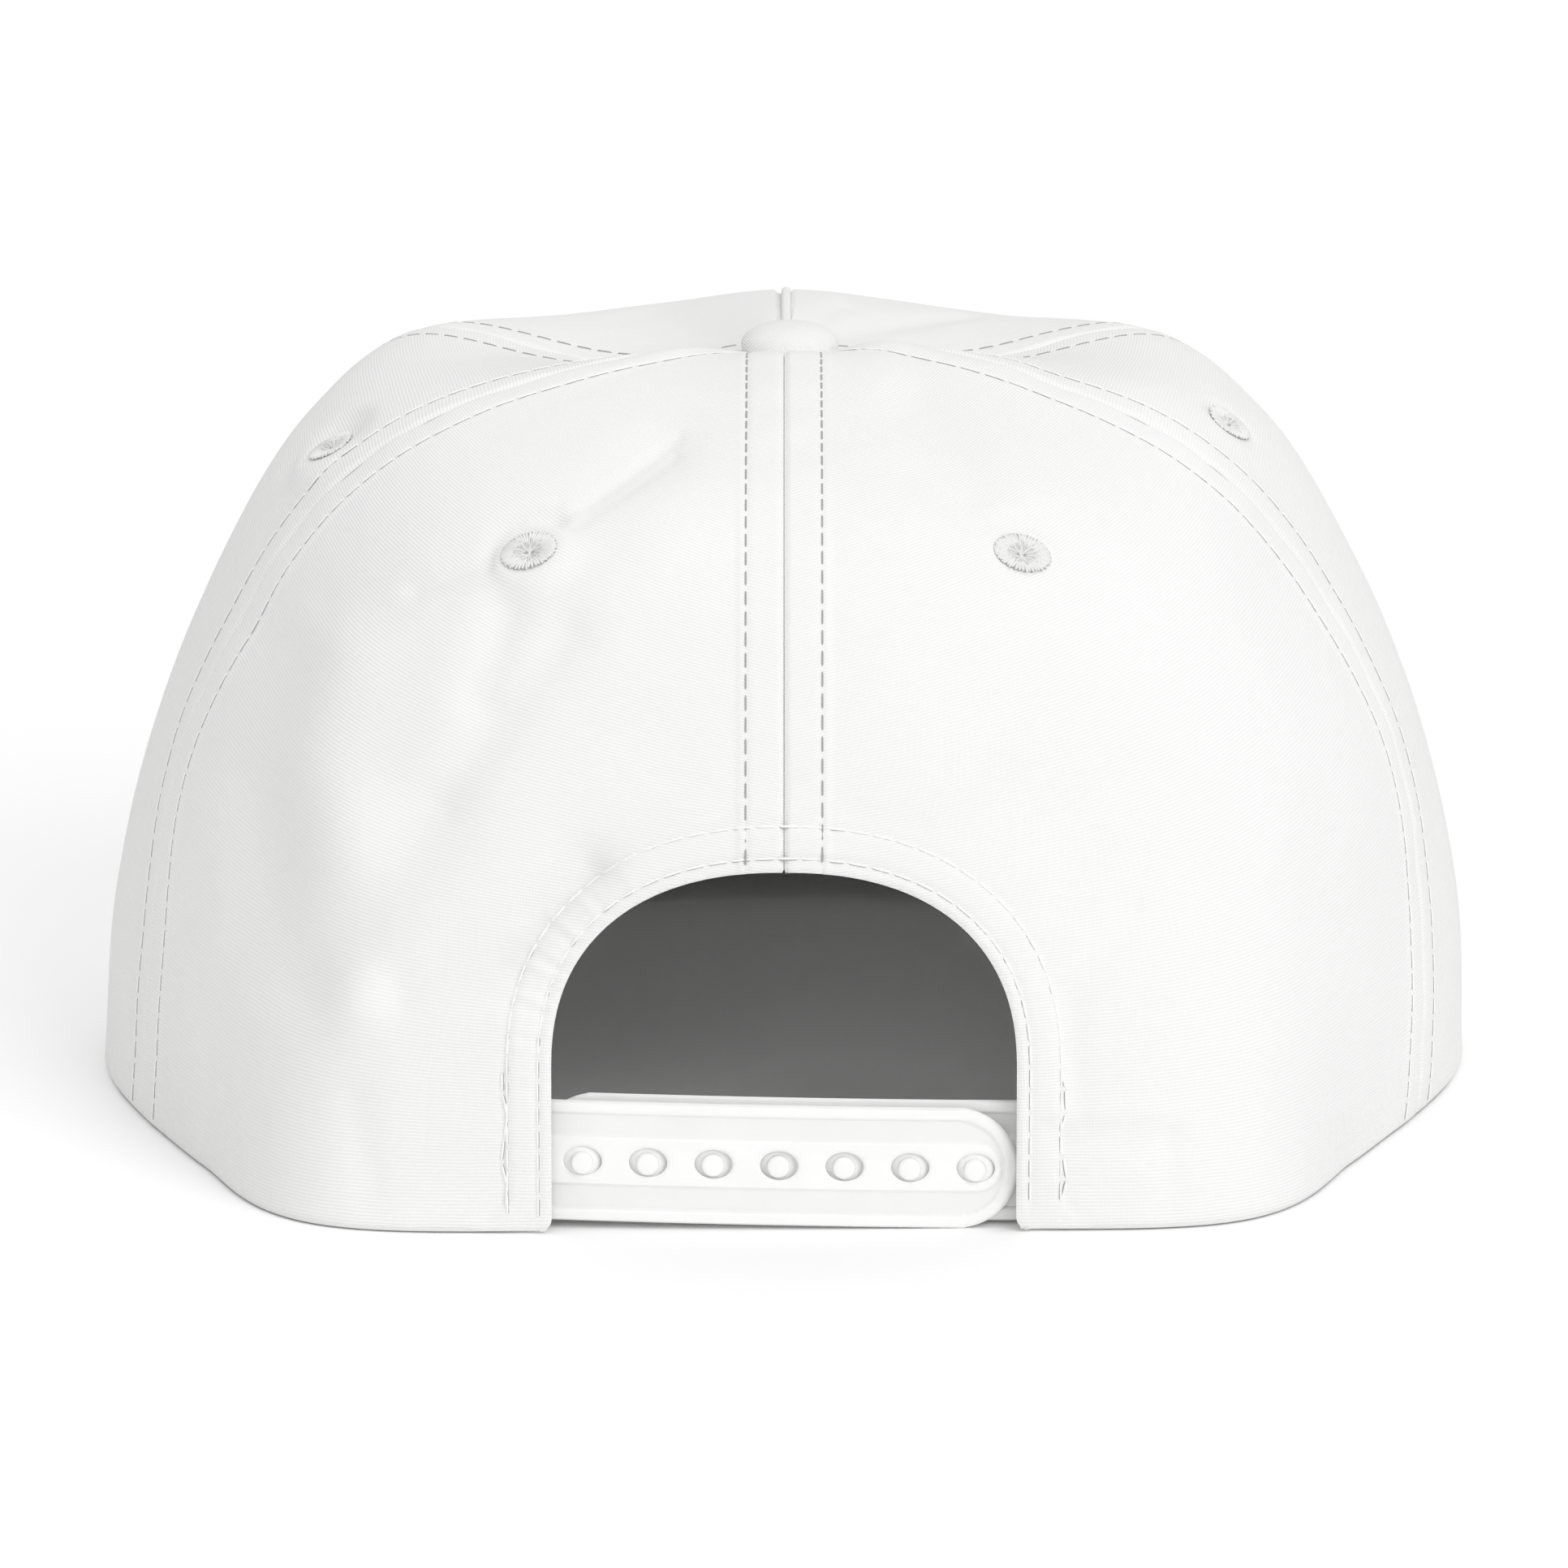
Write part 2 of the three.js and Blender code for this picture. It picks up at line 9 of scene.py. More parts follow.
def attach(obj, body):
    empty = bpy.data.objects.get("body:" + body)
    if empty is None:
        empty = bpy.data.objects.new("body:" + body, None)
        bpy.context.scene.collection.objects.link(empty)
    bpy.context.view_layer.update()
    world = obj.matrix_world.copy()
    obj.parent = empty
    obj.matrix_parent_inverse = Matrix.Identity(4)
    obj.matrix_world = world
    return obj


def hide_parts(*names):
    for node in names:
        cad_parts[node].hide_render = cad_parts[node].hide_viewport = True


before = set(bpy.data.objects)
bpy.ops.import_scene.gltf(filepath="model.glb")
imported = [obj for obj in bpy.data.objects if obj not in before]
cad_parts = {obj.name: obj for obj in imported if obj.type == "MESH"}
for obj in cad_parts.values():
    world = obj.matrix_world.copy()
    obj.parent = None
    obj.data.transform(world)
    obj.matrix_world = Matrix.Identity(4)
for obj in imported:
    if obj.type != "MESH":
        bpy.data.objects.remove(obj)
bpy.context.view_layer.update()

mm = 0.001

# Crown: stations round it in degrees from the middle of the back, at the rim and at the top
RIM_ANGLES = [0, 20, 39, 57, 78, 98, 124, 152, 180]
TOP_ANGLES = [0, 18, 34, 48, 62, 92, 120, 150, 180]
BACK, BACK_SEAM, FRONT_SEAM, FRONT = 0, 4, 6, 8

# Rings from the rim to the button: how far a ring has turned to the top's angles, the back seam's own
# angle where it leaves that rule, then the radius and the height at each station, in millimetres
RINGS = [
    {"name": "rim", "turn": 0, "back_seam": 72.5,
     "radius": [82, 87, 99.5, 92.5, 90.5, 93.3, 90.5, 89, 88.5],
     "height": [0, 0, 0, 0, 0, 0, 0.6, 3.5, 5]},
    {"name": "hem", "turn": 0.05, "back_seam": 72,
     "radius": [81, 85.8, 95, 91, 89.3, 91.5, 89.5, 88.5, 88],
     "height": [25] * 9},
    {"name": "waist", "turn": 0.15, "back_seam": 75.5,
     "radius": [77, 80.5, 86.5, 85.5, 84, 85.6, 85, 85.5, 86],
     "height": [50] * 9},
    {"name": "brow", "turn": 0.35, "radius": [68.5, 70.8, 74.5, 75, 74.5, 76.2, 77.5, 79, 80],
     "height": [72] * 9},
    {"name": "eyelets", "turn": 0.6, "radius": [55, 57, 59.5, 61.5, 63, 65.5, 69, 72.5, 73],
     "height": [88] * 9},
    {"name": "shoulder", "turn": 0.85, "radius": [36, 38, 40.5, 43.5, 47, 51.5, 55, 53.5, 48],
     "height": [97.5, 96.5, 96.5, 97, 97.5, 96.8, 97, 95.2, 98]},
    {"name": "crown", "turn": 1, "radius": [15, 15.5, 16.5, 18, 20, 24, 27, 26, 25],
     "height": [102.6, 102.3, 101.9, 101.9, 102, 98.4, 95.4, 97.4, 100.6]},
    {"name": "button hole", "turn": 1, "radius": [3] * 9, "height": [100] * 9},
]
TOP_RING = len(RINGS) - 1
CROWN_TOP = 100 * mm
LEAN = 0.6 * mm
TUCK = {"depth": 2.2 * mm, "from_angle": 6, "to_angle": 94, "height": 30 * mm}

# The crown's own middle is off the origin, which is under the middle of the whole cap
MIDDLE_Y = 37.5 * mm
SHIFT = np.array([0, -MIDDLE_Y, 0])

CLOTH = 0.9 * mm
RIM_LIFT = 0.22 * mm
RIM_ROLL = {"height": 1.5 * mm, "drop": 0.8 * mm}
SEAM_GAP = 0.09 * mm
ALLOWANCE = 5 * mm
# The pinched seam down the front: wrap is the part of a full turn that its roll makes, and girth and
# ring_step scale its cloth's map across the roll and from ring to ring
RIB = {
    "half_width": 0.65 * mm, "height": 0.35 * mm, "trench": 0.6 * mm, "across": 0.3 * mm, "wrap": 0.62,
    "girth": 3 * mm, "ring_step": 22 * mm,
}
# Each stitch also gets a dark grain of painted shade, a little under its thread and to one side of it
STITCH = {
    "pitch": 3.05 * mm, "share": 0.9, "width": 0.34 * mm, "lift": 0.1 * mm,
    "shade_grain": 0.34 * mm, "shade_grain_share": 0.84, "shade_grain_aside": 0.11 * mm, "shade_grain_depth": 0.01 * mm,
    # Above a row's set height a short dark dash of painted shade takes the thread's place
    "shade_dash_share": 0.74, "shade_dash_width": 0.3 * mm, "shade_dash_lift": 0.05 * mm,
}
UV_PER_METRE = 10
# Ribs of the cloth, in millimetres on its map
WEAVE_RIBS = {
    "pitch": 0.46, "wander": 0.5, "wander_scale": 0.12, "slub_stretch": (0.5, 3.4, 1),
    "thread_pitch": 0.36, "thread_height": 0.12,
}
GRAIN_BIAS = {"from": 10 * mm, "per_metre": 4.4}

# A pressed seam: its crease, its raised allowance, the groove of its stitch rows and their slow pull
SEAM = {
    "crease": 0.5 * mm, "crease_width": 0.45 * mm, "pressed": 0.28 * mm, "pressed_on_top": 0.08 * mm,
    "groove": 0.15 * mm, "groove_width": 0.55 * mm, "tick": 0.02 * mm, "pull": 0.1 * mm,
    "pull_length": 13 * mm, "flattens": (84 * mm, 96 * mm),
}

ARCH = {"half_width": 30.3 * mm, "side": 22 * mm, "top": 47.7 * mm, "power": 2.35, "corner": 2.2 * mm}
# Cloth above this height counts as far from the opening's edge
ABOVE_ARCH = 60 * mm
FAR = 30 * mm
HEM = {
    "rows": (1.8 * mm, 5.8 * mm), "thickness": 0.4 * mm, "groove": 0.3 * mm, "roll": 0.9 * mm,
    "roll_drop": 0.5 * mm, "gather": 0.2 * mm,
}
# The hem's outer row is sewn twice near its feet: the second pass lies aside and wanders
SECOND_PASS = {"aside": 0.35 * mm, "sway": 0.45 * mm, "below": 24 * mm}

# The photograph's point of view: a camera a little above the cap, looking at its back
VIEW_TILT = math.radians(14)
VIEW_HEIGHT = 50 * mm
CAMERA_DISTANCE = 1.8
AIM_HEIGHT = 39.8 * mm
LENS = 305

WORLD_LIGHT = 0.47
LAMPS = [
    {"name": "key", "from": (0.75, -0.95, 0.75), "softness": 40, "power": 1.0},
    {"name": "fill", "from": (-0.1, -1, 0.4), "softness": 20, "power": 0.38},
    {"name": "top", "from": (0, 0.1, 1), "softness": 80, "power": 1.18},
]

# Folds of the back panels, as strokes on the view from behind. Each has a name, its half width, how far it
# sinks or, where negative, stands proud, and its path across and up the view, all in millimetres.
FOLDS = [
    ("left crease", 3.8, 0.85, [(-16, 34.5), (-30, 26.3), (-46, 17), (-60, 14)]),
    ("left crease, head", 4.5, 0.25, [(-13.5, 36.8), (-22, 31)]),
    ("left crease, upper line", 0.9, 0.25, [(-14, 36.7), (-26, 27.6), (-33.5, 23.4)]),
    ("left crease, middle line", 1.2, 0.22, [(-17, 34.7), (-26, 27.6)]),
    ("left crease, lower line", 0.9, 0.26, [(-14.5, 34.2), (-21.2, 29), (-27, 25)]),
    ("left crease, tail", 1.3, 0.5, [(-30, 25.9), (-39.2, 20.1), (-48.9, 16.3)]),
    ("left hollow", 3.2, 0.9, [(-36.7, 13.4), (-38, 7.5), (-40, 2.2)]),
    ("left hollow, start", 5, 0.4, [(-24, 22), (-33, 12)]),
    ("left hollow, tail", 3.4, 0.8, [(-28.7, 10.1), (-36.7, -0.4), (-45, -10.8)]),
    ("left hollow, base", 8, 0.5, [(-38, 14), (-46, -11)]),
    ("left bulge", 6, -1.5, [(-57, 6), (-60, -6), (-57, -18)]),
    ("left flank dip", 6, 1.6, [(-67, 8), (-71.5, -7), (-66, -34)]),
    ("low diagonal", 6, 1.1, [(-48.8, -14.4), (-55.5, -25.8), (-62, -36.5)]),
    ("arch fold", 4.2, 2.1, [(-26, -21.2), (-38, -30.5), (-50, -35.8)]),
    ("arch fold, start", 1.8, 0.5, [(-25.5, -20.5), (-33, -26.5)]),
    ("low swell", 4.5, -0.6, [(-37, -40), (-56, -39.5)]),
    ("strap end on the left", 2.4, 0.4, [(-56, -51), (-53.5, -66)]),
    ("right dent", 4.2, 1.0, [(17.2, 40.2), (20.7, 35.9), (24.5, 29.5)]),
    ("right line", 2.6, 0.45, [(17.3, 31), (28, 23), (34.8, 15.6), (42.8, 9.6)]),
    ("small mark", 1.6, 0.3, [(8.7, -13.3), (17.3, -14.5)]),
    ("beside the arch", 2.6, 0.5, [(45.5, -26.5), (37.4, -35.8)]),
    ("below it", 1.7, 0.4, [(37.5, -39), (38.5, -52)]),
    ("strap's edge on the right", 1.6, -0.4, [(36, -52.2), (49, -52.2)]),
    ("strap's field on the right", 2, 0.4, [(36, -55.4), (50, -55.4)]),
    ("strap's end on the right", 2, 0.3, [(50.5, -55), (50.5, -66)]),
    ("right shoulder", 5, -0.8, [(14, 48), (30, 46.5)]),
]
# Creases of the front panels that run out from the button, given in the same way across and forward of it
TOP_CREASES = [
    ("right crease", 3, 0.7, [(5, 12), (13, 27), (24, 41)]),
    ("right line", 1.8, 0.4, [(3, 15), (8, 33)]),
    ("left dip", 6, 0.7, [(-11, 16), (-19, 40)]),
]

# squash is the short axis of the worked ring over its long one, and slant the degrees that the long one
# is off level
EYELET = {
    "radius": 4 * mm, "stiff_to": 6 * mm, "rise": 0.16 * mm, "funnel": 0.75 * mm, "hole": 2.1 * mm,
    "threads": 58, "squash": 0.68, "slant": 18, "sunk": 0.3 * mm,
}
# lean is how steeply the cloth under an eyelet falls towards each axis
EYELETS = [
    {"name": "eyelet_back_left", "panel": "back_panel_left", "side": -1, "station": 1.77, "ring": 3.77,
     "lean": (0.06, -0.1, -0.06)},
    {"name": "eyelet_back_right", "panel": "back_panel_right", "side": 1, "station": 1.63, "ring": 3.77,
     "lean": (-0.05, -0.08, -0.05)},
    {"name": "eyelet_side_left", "panel": "side_panel_left", "side": -1, "station": 4.45, "ring": 4.14,
     "lean": (-0.14, -0.13, -0.16)},
    {"name": "eyelet_side_right", "panel": "side_panel_right", "side": 1, "station": 4.62, "ring": 4.34,
     "lean": (0, 0, 0)},
]

# Snap strap: side is 1 where a half's round tip points right; a half is sewn in at its other end
STRAP = {
    "half_width": 8.15 * mm, "thickness": 1.0 * mm, "relief": 0.4 * mm, "border": 1.6 * mm,
    "band": 3.05 * mm, "band_margin": 0.7 * mm, "pad": 0.45 * mm, "corner": 0.45 * mm,
    "corner_drop": 0.4 * mm, "bend": 560 * mm, "slope": -0.02, "sewn_to": 46 * mm,
}
STRAP_HALVES = [
    {"name": "strap_with_holes", "side": 1, "tip": 30.6 * mm, "face": -79.6 * mm, "height": 8.65 * mm,
     "ramp": 0},
    {"name": "strap_with_pegs", "side": -1, "tip": 32.5 * mm, "face": -77.9 * mm, "height": 9.25 * mm,
     "ramp": 1.5 * mm},
]
SNAPS = {
    "count": 7, "pitch": 8.55 * mm, "middle": -0.64 * mm, "half_width": 2.5 * mm, "half_height": 1.95 * mm,
    "lip": 0.22 * mm, "lip_drop": 0.2 * mm,
}
PEG = {
    "radius": 1.5 * mm, "top": -79.8 * mm, "across": -0.1 * mm, "up": -0.15 * mm,
    "flare": 2.5 * mm, "flare_height": 0.6 * mm, "rounding": 0.45 * mm, "sunk": 0.1 * mm,
}

BUTTON = {
    "across": 0.8 * mm, "seat": 100.9 * mm, "radius": 6.6 * mm, "top": 103.9 * mm, "under": 2.2 * mm,
    "fineness": 1.5, "fullness": 0.92,
}
PEAK = {
    "half_width": 86 * mm, "root": 36 * mm, "reach": 121 * mm, "power": 2.15, "thickness": 2.6 * mm,
    "floor_gap": 0.4 * mm, "camber": 4.6 * mm, "tip_drop": 1 * mm, "from": 5.52,
    "stitch_rows": (0.08, 0.26, 0.44, 0.62, 0.8, 0.95), "channel": 0.25 * mm, "channel_width": 1.2 * mm,
    "rows": 170, "top_share": 0.62, "turn_share": 0.06,
}

SIDES = {"left": -1, "right": 1}
# Each panel's last entry gives, for each row beside a seam, the height above which its thread is drawn
# only as a dark dash of painted shade. The pinched seam down the front has no row.
PANELS = [
    {"name": "back_panel", "from": BACK, "to": BACK_SEAM, "columns": 150, "rows": 215,
     "shade_dash_above": (30 * mm, math.inf)},
    {"name": "side_panel", "from": BACK_SEAM, "to": FRONT_SEAM, "columns": 96, "rows": 170,
     "shade_dash_above": (math.inf, 90 * mm)},
    {"name": "front_panel", "from": FRONT_SEAM, "to": FRONT, "columns": 96, "rows": 170,
     "shade_dash_above": (90 * mm,)},
]


# Crown surface

def mirrored_row(values, key):
    """A ring's values with one more at each end, as the other half of the crown has them."""
    if key == "angle":
        return [-values[1], *values, 360 - values[-2]]
    return [values[1], *values, values[-2]]


def crown_table(key):
    rows = []
    for ring in RINGS:
        if key == "angle":
            pairs = zip(RIM_ANGLES, TOP_ANGLES)
            values = [rim + (top - rim) * ring["turn"] for rim, top in pairs]
            values[BACK_SEAM] = ring.get("back_seam", values[BACK_SEAM])
        else:
            values = ring[key]
        rows.append(mirrored_row(values, key))
    table = np.array(rows, float)
    below = 2 * table[0] - table[1]
    above = 2 * table[-1] - table[-2]
    return np.vstack([below, table, above])


TABLES = {key: crown_table(key) for key in ("angle", "radius", "height")}


def spline(a, b, c, d, t):
    """A smooth curve through b and c, with a and d as its outer neighbours."""
    linear = (c - a) * t
    square = (2 * a - 5 * b + 4 * c - d) * t * t
    cube = (3 * b - 3 * c + d - a) * t * t * t
    return (2 * b + linear + square + cube) / 2


def table_curve(key, station, ring):
    table = TABLES[key]
    column = np.clip(np.floor(station).astype(int), BACK, FRONT - 1)
    row = np.clip(np.floor(ring).astype(int), 0, TOP_RING - 1)
    lines = []
    for up in range(4):
        line = [table[row + up, column + along] for along in range(4)]
        lines.append(spline(*line, station - column))
    return spline(*lines, ring - row)


def rim_tuck(side, degrees, height):
    """The right of the rim is drawn in a little."""
    share = (degrees - TUCK["from_angle"]) / (TUCK["to_angle"] - TUCK["from_angle"])
    low = np.maximum(1 - height / TUCK["height"], 0)
    depth = TUCK["depth"] * np.sin(np.pi * np.clip(share, 0, 1)) * low * low
    return np.where(np.asarray(side) > 0, depth, 0)


def crown_point(side, station, ring):
    """Points of the unfolded crown, round its own middle."""
    station, ring = np.broadcast_arrays(np.asarray(station, float), np.asarray(ring, float))
    degrees = table_curve("angle", station, ring)
    angle = np.radians(degrees)
    height = np.maximum(table_curve("height", station, ring) * mm, 0)
    belly = np.sin(np.pi * np.clip(height / CROWN_TOP, 0, 1))
    lean = side * LEAN * belly * np.sin(angle)
    radius = table_curve("radius", station, ring) * mm + lean - rim_tuck(side, degrees, height)
    return np.stack([side * radius * np.sin(angle), -radius * np.cos(angle), height], -1)


def crown_normal(side, station, ring):
    small = 0.02
    ring = np.asarray(ring, float)
    up = crown_point(side, station, np.minimum(ring + small, TOP_RING))
    up = up - crown_point(side, station, np.maximum(ring - small, 0))
    along = crown_point(side, station + small, ring) - crown_point(side, station - small, ring)
    normal = np.cross(along, up) * side
    return normal / np.linalg.norm(normal, axis=-1, keepdims=True)


def crown_place(x, z):
    """Station and ring of the crown's back at x across and z up."""
    side = np.where(x < 0, -1.0, 1.0)
    # A first guess, which each step below improves
    station = np.abs(x) / (30 * mm)
    ring = z / (25 * mm)
    nudge = 0.01
    for _ in range(12):
        here = crown_point(side, station, ring)
        across = (crown_point(side, station + nudge, ring) - here)[..., 0] / nudge
        up = (crown_point(side, station, ring + nudge) - here)[..., 2] / nudge
        station = station + (x - here[..., 0]) / across
        ring = ring + (z - here[..., 2]) / up
    return side, station, ring


# Relief of the cloth

def smoothstep(low, high, value):
    share = np.clip((value - low) / (high - low), 0, 1)
    return share * share * (3 - 2 * share)


def bump(distance, width):
    return np.exp(-((distance / width) ** 2))


def round_down(share):
    """How far a rounded edge has dropped: nearly 1 at its end, where share is 0, and 0 where share is 1."""
    return 1 - np.sqrt(1 - 0.98 * np.clip(1 - share, 0, 1) ** 2)


def arch_outline(rounding, count=600):
    """The edge of the back opening from its right foot to its left foot, as x and z."""
    angle = np.linspace(0, np.pi, count)
    power = 2 / ARCH["power"]
    x = np.sign(np.cos(angle)) * np.abs(np.cos(angle)) ** power * ARCH["half_width"]
    z = ARCH["side"] + (ARCH["top"] - ARCH["side"]) * np.sin(angle) ** power
    foot = np.linspace(-5 * mm, ARCH["side"], count // 4)
    corner = np.clip(1 - np.maximum(foot, 0) / ARCH["corner"], 0, 1)
    edge = ARCH["half_width"] + rounding * (1 - np.sqrt(1 - corner ** 2))
    x = np.concatenate([edge, x, -edge[::-1]])
    z = np.concatenate([foot, z, foot[::-1]])
    return np.stack([x, z], -1)


OUTLINE = arch_outline(ARCH["corner"])
SEWN_OUTLINE = arch_outline(0)


def arch_distance(place):
    """How far points of the back lie outside the opening's edge, and the nearest points of it."""
    x, z = place[:, 0], place[:, 2]
    points = np.stack([x, z], -1)
    nearest = np.zeros_like(points)
    distance = np.zeros(len(points))
    for start in range(0, len(points), 4000):
        part = points[start:start + 4000]
        gaps = np.linalg.norm(part[:, None, :] - OUTLINE[None, :, :], axis=-1)
        index = gaps.argmin(1)
        nearest[start:start + 4000] = OUTLINE[index]
        distance[start:start + 4000] = gaps[np.arange(len(part)), index]
    rise = np.clip((z - ARCH["side"]) / (ARCH["top"] - ARCH["side"]), 0, None)
    across = np.abs(x) / ARCH["half_width"]
    inside = across ** ARCH["power"] + rise ** ARCH["power"] < 1
    distance = np.where(inside, -distance, distance)
    return np.where(z > ABOVE_ARCH, FAR, distance), nearest


def seen_from_behind(point):
    up = point[:, 1] * math.sin(VIEW_TILT)
    up = up + (point[:, 2] - VIEW_HEIGHT) * math.cos(VIEW_TILT)
    return np.stack([point[:, 0], up], -1) / mm


def stroke_gap(seen, start, end):
    """Distance of points on a view from a straight stroke."""
    start = np.array(start)
    stroke = np.array(end) - start
    share = np.clip((seen - start) @ stroke / (stroke @ stroke), 0, 1)
    return np.linalg.norm(seen - start - share[:, None] * stroke, axis=-1)


def strokes_depth(seen, folds):
    total = np.zeros(len(seen))
    for _, width, depth, path in folds:
        gaps = [stroke_gap(seen, a, b) for a, b in zip(path, path[1:])]
        total += depth * mm * bump(np.min(gaps, axis=0), width)
    return total


def fold_depth(point):
    """How far the folds sink the cloth."""
    behind = strokes_depth(seen_from_behind(point), FOLDS)
    front = strokes_depth(point[:, :2] / mm, TOP_CREASES)
    return np.where(point[:, 1] > 0, front, behind)


def eyelet_relief(point, height):
    """The thread of an eyelet keeps the cloth flat round it, in a shallow dimple that may lean."""
    for eyelet in EYELETS:
        gap = point - crown_point(eyelet["side"], eyelet["station"], eyelet["ring"])
        distance = np.linalg.norm(gap, axis=-1)
        height = height * smoothstep(EYELET["radius"], EYELET["stiff_to"], distance)
        height = height - EYELET["sunk"] * (1 - smoothstep(3.6 * mm, 5.4 * mm, distance))
        height = height + gap @ np.array(eyelet["lean"]) * (1 - smoothstep(4 * mm, 8.5 * mm, distance))
    return height


def unevenness(point):
    """Slow swells of soft cloth, from smooth noise."""
    swell = np.array([noise.noise(Vector(p) / (34 * mm)) for p in point])
    ripple = np.array([noise.noise(Vector(p) / (11 * mm)) for p in point])
    return 0.3 * mm * swell + 0.07 * mm * ripple


def seam_relief(distance, along, height):
    """Crease at a seam, its pressed allowance, and the groove that a stitch row pulls beside it."""
    from_row = distance - ALLOWANCE
    crease = SEAM["crease"] * bump(distance, SEAM["crease_width"])
    on_top = smoothstep(*SEAM["flattens"], height)
    pressed = SEAM["pressed"] + (SEAM["pressed_on_top"] - SEAM["pressed"]) * on_top
    allowance = pressed * (1 - smoothstep(0.3 * mm, 1.5 * mm, from_row))
    groove = SEAM["groove"] * bump(from_row, SEAM["groove_width"])
    ticks = SEAM["tick"] * np.cos(2 * np.pi * along / STITCH["pitch"]) * bump(from_row, 1.5 * mm)
    pull = SEAM["pull"] * np.sin(2 * np.pi * along / SEAM["pull_length"]) * bump(distance, 4 * mm)
    return allowance - crease - groove + ticks + pull


def rib_relief(distance):
    """The trench down the middle of the front, from which the pinched seam stands up."""
    edge = RIB["half_width"] + 0.15 * mm
    return -RIB["trench"] * (1 - smoothstep(edge, edge + 0.35 * mm, distance))


def hem_relief(distance, point):
    """The folded hem round the back opening, with its two stitch rows and its gathers."""
    thick = HEM["thickness"] * (1 - smoothstep(5.4 * mm, 6.6 * mm, distance))
    for row in HEM["rows"]:
        thick = thick - HEM["groove"] * bump(distance - row, SEAM["groove_width"])
    thick = thick - HEM["roll_drop"] * round_down(distance / HEM["roll"])
    # The gathers lie round the arch's left shoulder, and faintly round its right one
    turn = np.mod(np.arctan2(point[:, 2] - ARCH["side"], point[:, 0]) + np.pi / 2, 2 * np.pi) - np.pi / 2
    gather = np.where(point[:, 0] < 0, bump(turn - 2.75, 0.42), 0.35 * bump(turn - 0.35, 0.3))
    waves = np.sin(turn * 62) * 0.6 + np.sin(turn * 103 + 1) * 0.4
    return thick + HEM["gather"] * gather * waves * bump(distance - 3.4 * mm, 3.2 * mm)


def cloth_relief(point, seams, along, hem):
    """Height of the finished cloth over the unfolded crown.
    seams is a list of (kind, distance), and hem the distance from the back opening or None."""
    height = eyelet_relief(point, unevenness(point) - fold_depth(point))
    for kind, distance in seams:
        if kind == "rib":
            height = height + rib_relief(distance)
        else:
            height = height + seam_relief(distance, along, point[:, 2])
    if hem is not None:
        height = height + hem_relief(hem, point)
    # The relief fades towards the rim, whose edge is rolled
    rounding = RIM_ROLL["drop"] * round_down(point[:, 2] / RIM_ROLL["height"])
    return height * smoothstep(-2 * mm, 7 * mm, point[:, 2]) - rounding


# Materials

def new_group(name, inputs, outputs):
    group = bpy.data.node_groups.new(name, "ShaderNodeTree")
    for title, kind in inputs:
        group.interface.new_socket(name=title, in_out="INPUT", socket_type=kind)
    for title, kind in outputs:
        group.interface.new_socket(name=title, in_out="OUTPUT", socket_type=kind)
    return group, group.nodes.new("NodeGroupInput"), group.nodes.new("NodeGroupOutput")


def math_node(tree, operation, first, second=None, third=None):
    node = tree.nodes.new("ShaderNodeMath")
    node.operation = operation
    for socket, value in zip(node.inputs, (first, second, third)):
        if value is None:
            continue
        if isinstance(value, (int, float)):
            socket.default_value = value
        else:
            tree.links.new(value, socket)
    return node.outputs[0]


def noise_node(tree, vector, scale, detail=2.0, roughness=0.5):
    node = tree.nodes.new("ShaderNodeTexNoise")
    node.inputs["Scale"].default_value = scale
    node.inputs["Detail"].default_value = detail
    node.inputs["Roughness"].default_value = roughness
    tree.links.new(vector, node.inputs["Vector"])
    return node.outputs["Fac"]


def ribbed_weave_group():
    """Fine crosswise ribs of woven cloth on a map in millimetres: their height and their shade."""
    group, given, result = new_group(
        "ribbed weave",
        [("Map", "NodeSocketVector"), ("Rib Pitch", "NodeSocketFloat"), ("Unevenness", "NodeSocketFloat")],
        [("Height", "NodeSocketFloat"), ("Shade", "NodeSocketFloat")],
    )
    place = given.outputs["Map"]
    parts = group.nodes.new("ShaderNodeSeparateXYZ")
    group.links.new(place, parts.inputs[0])
    wander = noise_node(group, place, WEAVE_RIBS["wander_scale"], 2)
    wander = math_node(group, "MULTIPLY", math_node(group, "SUBTRACT", wander, 0.5), WEAVE_RIBS["wander"])
    up = math_node(group, "ADD", parts.outputs["Y"], wander)
    turns = math_node(group, "DIVIDE", up, given.outputs["Rib Pitch"])
    wave = math_node(group, "SINE", math_node(group, "MULTIPLY", turns, 2 * math.pi))
    rib = math_node(group, "MULTIPLY_ADD", wave, 0.5, 0.5)
    stretch = group.nodes.new("ShaderNodeMapping")
    stretch.inputs["Scale"].default_value = WEAVE_RIBS["slub_stretch"]
    group.links.new(place, stretch.inputs["Vector"])
    slub = noise_node(group, stretch.outputs[0], 1.0, 3, 0.7)
    across = 2 * math.pi / WEAVE_RIBS["thread_pitch"]
    crossing = math_node(group, "SINE", math_node(group, "MULTIPLY", parts.outputs["X"], across))
    crossing = math_node(group, "MULTIPLY", crossing, WEAVE_RIBS["thread_height"])
    slub = math_node(group, "SUBTRACT", slub, 0.5)
    uneven = math_node(group, "MULTIPLY", slub, given.outputs["Unevenness"])
    height = math_node(group, "ADD", math_node(group, "ADD", rib, uneven), crossing)
    group.links.new(height, result.inputs["Height"])
    group.links.new(math_node(group, "MULTIPLY_ADD", height, 0.5, 0.25), result.inputs["Shade"])
    return group


